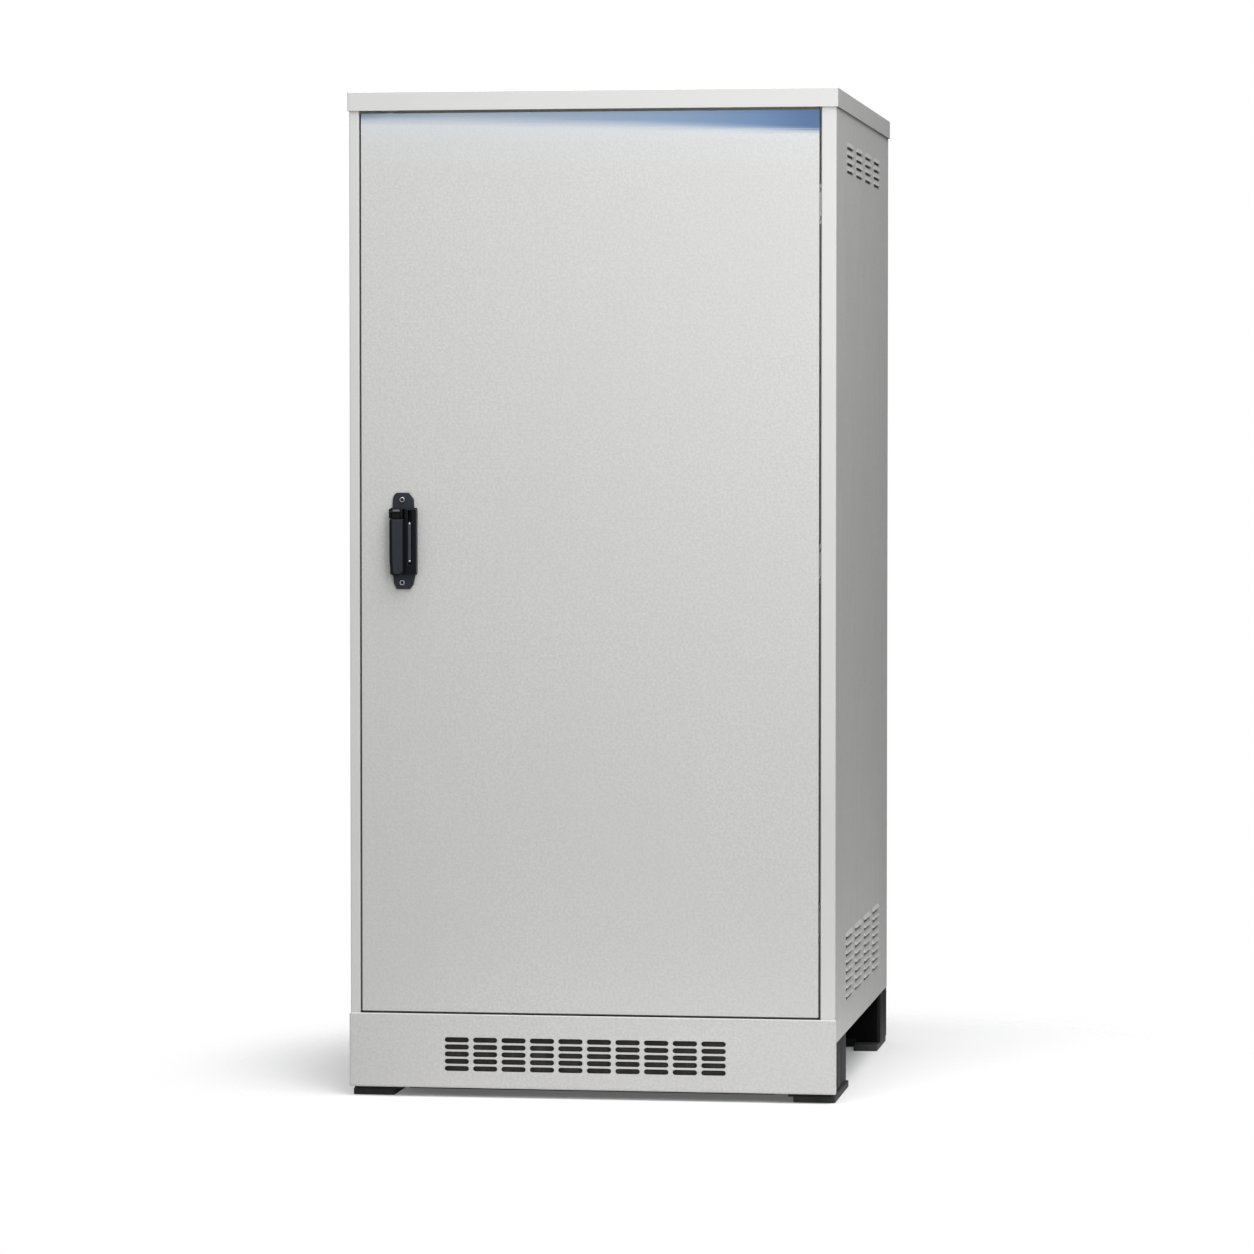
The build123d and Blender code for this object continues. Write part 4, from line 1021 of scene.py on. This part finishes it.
def slide_strip():
    """The lock slide in its channel, with finger ribs at the middle."""
    low, high = 986.0, 1060.5
    parts = [
        upright((SLOT_X - 5, low, 4.3), (SLOT_X + 5, high, 8), 0.8, 0.4),
        upright((SLOT_X - 2.6, low, 5), (SLOT_X + 2.6, high, 15.4), 1.0, 0.7),
    ]
    for z in range(1011, 1036, 3):
        parts.append(upright((SLOT_X - 2.1, z, 15.0), (SLOT_X + 2.1, z + 1.3, 15.75), 0.3, 0.3))
    settle("slide_strip", parts, "slide_grey", ("lock_slide",), body="slide")
    pin = [(0, 1.7), (0.45, 1.7), (0.75, 1.3), (0.8, 0.7)]
    pins = [turned_front(SLOT_X, z, 15.1, pin) for z in (low + 3, high - 3)]
    settle("slide_pins", pins, "zinc_steel", body="slide")


handle_escutcheon()
swing_lever()
handle_turret()
slide_strip()


# ---- batteries ----
BLOCK = Vector((173, 330, 212)) * MM
BLOCK_PITCH = (185 * MM, 345 * MM)
POST_SPOT = (62 * MM, -140 * MM)


def rib(xs, ys, *zs):
    """A square-edged bar between two values of X, Y and Z."""
    return lofted([[(*spot, z) for spot in rectangle(*xs, *ys)] for z in zs])


def battery_block():
    """One moulded block: foot, ribbed case, lid, vent caps and terminal towers, its foot's middle at 0."""
    half = Vector((BLOCK.x / 2, BLOCK.y / 2))

    def layer(inset, z0, z1, corner, top):
        low = (inset * MM - half.x, inset * MM - half.y, z0 * MM)
        high = (half.x - inset * MM, half.y - inset * MM, z1 * MM)
        return block(low, high, corner * MM, top * MM)

    parts = [
        layer(0, 0, 9, 7, 1.5), layer(1.6, 8, 176, 6, 1.0), layer(3.4, 172, 184, 5, 0.5),
        layer(0, 180, 207, 7, 3.0), layer(16, 205, 211, 6, 1.2),
    ]
    for across, along, count, pitch in ((1, 0, 3, 22), (0, 1, 6, 23)):
        for step in range(-count, count + 1):
            for side in (-1, 1):
                spread = [None, None]
                spread[along] = (step * pitch - 2) * MM, (step * pitch + 2) * MM
                spread[across] = sorted((side * (half[across] - 2 * MM), side * (half[across] - 0.8 * MM)))
                parts.append(rib(*spread, 16 * MM, 166 * MM))
    recess = crossed(7, 3)
    for step in range(6):
        cap = turned([(0, 9.5), (2, 9.5), (2.6, 8.8), (2.6, recess), (1, recess)])
        parts.append(moved(cap, 0, (step - 2) * 42 * MM, 210.6 * MM))
    for side in (-1, 1):
        tower = turned([(0, 15), (4, 14.5), (5, 13), (5, 9.5)])
        parts.append(moved(tower, side * POST_SPOT[0], POST_SPOT[1], 207 * MM))
    return joined(parts)


battery_model = battery_block()
for level in range(1, 5):
    node = "batteries_%d" % level
    low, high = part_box(node)
    x, y = (low.x + high.x) / 2, (low.y + high.y) / 2
    spots = [
        (x + column * BLOCK_PITCH[0], y + row * BLOCK_PITCH[1], low.z)
        for column in (-1.5, -0.5, 0.5, 1.5) for row in (-0.5, 0.5)
    ]
    rows = on_spots("battery_case", battery_model, spots)
    settle("battery_row_%d" % level, rows, "battery_case", (node,))


# ---- breaker ----
def breaker_trim():
    """What stands on the breaker's face: six terminal covers and the toggle's frame."""
    hole = softened(rectangle(-123.5, -96.5, 1665, 1715), 3)
    edge = softened(rectangle(-132, -88, 1657, 1723), 4)
    parts = [raised(edge, 2, 0.6, -98.6, hole)]
    for low in (1603.5, 1733.5):
        for step in range(3):
            left = -159.5 + step * 33.7
            cover = softened(rectangle(left, left + 31.6, low, low + 28), 2)
            screw = slot_hole((left + 15.8) * MM, (low + 14) * MM, 9.2 * MM, 9 * MM)
            parts.append(raised(cover, 3.4, 0.7, -112, screw))
    settle("breaker_trim", parts, "breaker_case")


def output_studs():
    """Bolts with washers on the three output terminals."""
    flats = hexagon(15)
    bolt = [(0, 10), (1.5, 10), (1.5, flats), (8, flats), (8.6, 6.6), (8.6, 4.5), (17, 4.5), (18, 3.6)]
    bolts = [turned_front(x, 1670, -137, bolt) for x in (95, 160, 225)]
    settle("output_studs", bolts, "zinc_steel")


button = turned_front(-78, 1655, -100, [(-9, 4), (2, 4), (2.7, 3.6), (3, 2.6)], 32)
settle("trip_button_finished", button, "button_red", ("trip_button",), body="button")
breaker_trim()
output_studs()

# ---- string cables ----
CABLE = 6 * MM
POST_LOW, POST_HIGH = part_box("battery_terminals")
POST_X = POST_LOW.x + 8 * MM
POST_YS = (POST_LOW.y + 8 * MM, POST_HIGH.y - 8 * MM)
LUG_HEIGHTS = [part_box("batteries_%d" % level)[1].z + 4 * MM for level in range(1, 5)]


def round_cable(points, bend):
    """A cable along straight runs joined by bends."""
    return drawn("3D", bent(points, bend, 8), bevel_depth=CABLE, bevel_resolution=3, use_fill_caps=True)


def lug(y, z, way):
    """A crimped lug: its tongue under a terminal's bolt and its barrel along Y."""
    near, far = sorted((y - way * 8 * MM, y + way * 24 * MM))
    tongue = block((POST_X - 8 * MM, near, z), (POST_X + 8 * MM, far, z + 3 * MM), 4 * MM, 0.5 * MM)
    barrel = turned([(0, 5.6), (1, 7.2), (9, 7.2), (11, 6.4), (15, 6.4), (17, 7.2), (24, 7.2)])
    barrel.transform(pointing((0, way, 0)))
    return [tongue, moved(barrel, POST_X, y + way * 16 * MM, z + CABLE)]


def string_runs():
    """Cables between the levels at the back and front, and the two string ends up to the breaker."""
    x, tops = POST_X, [z + CABLE for z in LUG_HEIGHTS]
    front, rear = POST_YS[0] - 38 * MM, POST_YS[1] + 38 * MM
    front_run, far_run, rear_run = (DOOR_FACE + reach * MM for reach in (120, 92, 915))
    left_pole, right_pole = -140 * MM, -80 * MM
    left_turn, right_turn = 1545 * MM, 1520 * MM
    left_end, right_end = 1620 * MM, 1600 * MM
    runs = []
    for start, run, level in ((rear, rear_run, 0), (rear, rear_run, 2), (front, front_run, 1)):
        low, high = tops[level:level + 2]
        line = [(x, start, low), (x, run, low), (x, run, high), (x, start, high)]
        runs.append(round_cable(line, 45 * MM))
    runs += [
        round_cable([
            (x, front, tops[0]), (x, far_run, tops[0]), (x, far_run, left_turn),
            (left_pole, far_run, left_turn), (left_pole, far_run, left_end),
            (left_pole, DOOR_FACE + 115 * MM, left_end),
        ], 20 * MM),
        round_cable([
            (x, front, tops[3]), (x, front_run, tops[3]), (x, front_run, right_turn),
            (right_pole, front_run, right_turn), (right_pole, front_run, right_end),
        ], 20 * MM),
    ]
    settle("string_cables_finished", runs, "cable_sheath", ("string_cables",), smooth=50)
    lugs = []
    for z in LUG_HEIGHTS:
        lugs += lug(POST_YS[0], z, -1) + lug(POST_YS[1], z, 1)
    settle("cable_lugs", lugs, "copper")


string_runs()

# ---- stage ----
bpy.ops.mesh.primitive_circle_add(vertices=96, radius=9.0, fill_type="TRIFAN", location=(0, 0, 0))
floor = bpy.context.object
floor.name = "studio_floor"
paper = Finish(specular=0.2)
paper.material.name = "studio_paper"
pool = (0.22, 0.0, 0.0)  # the middle of the lit paper, which fades out round it
spread = paper.vectors("LENGTH", paper.vectors("SUBTRACT", paper.place, pool), output="Value")
paper.feed(paper.shader.inputs["Alpha"], paper.step(spread, 0.64, 1.18, 1.0, 0.0))
paper.wear((0.69, 0.69, 0.695, 1), 0.85)
# a little light comes up through the paper, so that the gap under the kick plate isn't black
paper.shader.inputs["Emission Color"].default_value = (1, 1, 1, 1)
paper.shader.inputs["Emission Strength"].default_value = 0.11
floor.data.materials.append(paper.material)

world = bpy.data.worlds.new("studio_air")
scene.world = world
world.use_nodes = True
air = Tree(world.node_tree)
world.node_tree.nodes.clear()
direction = air.node("ShaderNodeTexCoord", output="Generated")
window = (-0.62, -0.70, 0.35)  # the way that the brighter air lies
side_light = air.vectors("DOT_PRODUCT", direction, window, output="Value")
level = air.step(side_light, -0.9, 1.0, 0.14, 0.57)
seen = air.node("ShaderNodeLightPath", output="Is Camera Ray")
strength = level + seen * (1 - level)
glow = air.node("ShaderNodeBackground", None, {"Color": (1, 1, 1, 1), "Strength": strength})
air_out = world.node_tree.nodes.new("ShaderNodeOutputWorld")
world.node_tree.links.new(glow.socket, air_out.inputs["Surface"])


def lamp(name, place, aim, size, power):
    """A soft rectangular light that points at aim."""
    light = bpy.data.lights.new(name, "AREA")
    light.shape = "RECTANGLE"
    light.size, light.size_y = size
    light.energy = power
    thing = placed(name, light)
    thing.location = place
    thing.rotation_euler = (Vector(aim) - Vector(place)).to_track_quat("-Z", "Y").to_euler()


lamp("overhead_bank", (1.05, -1.4, 5.2), (0, -0.4, 0), (5.2, 5.0), 415)
lamp("right_key", (1.0, -2.6, 1.72), (0, 0, 1.0), (1.0, 1.2), 22)

# ---- camera ----
eye = given(bpy.data.cameras.new("front_view"), lens=145.98, sensor_width=36.0, clip_end=60.0)
viewer = placed("front_view", eye)
viewer.location = (1.409, -9.6835, 1.208)
viewer.rotation_euler = (math.radians(87.913), 0.0, math.radians(8.308))
scene.camera = viewer
scene.view_settings.view_transform = "Standard"
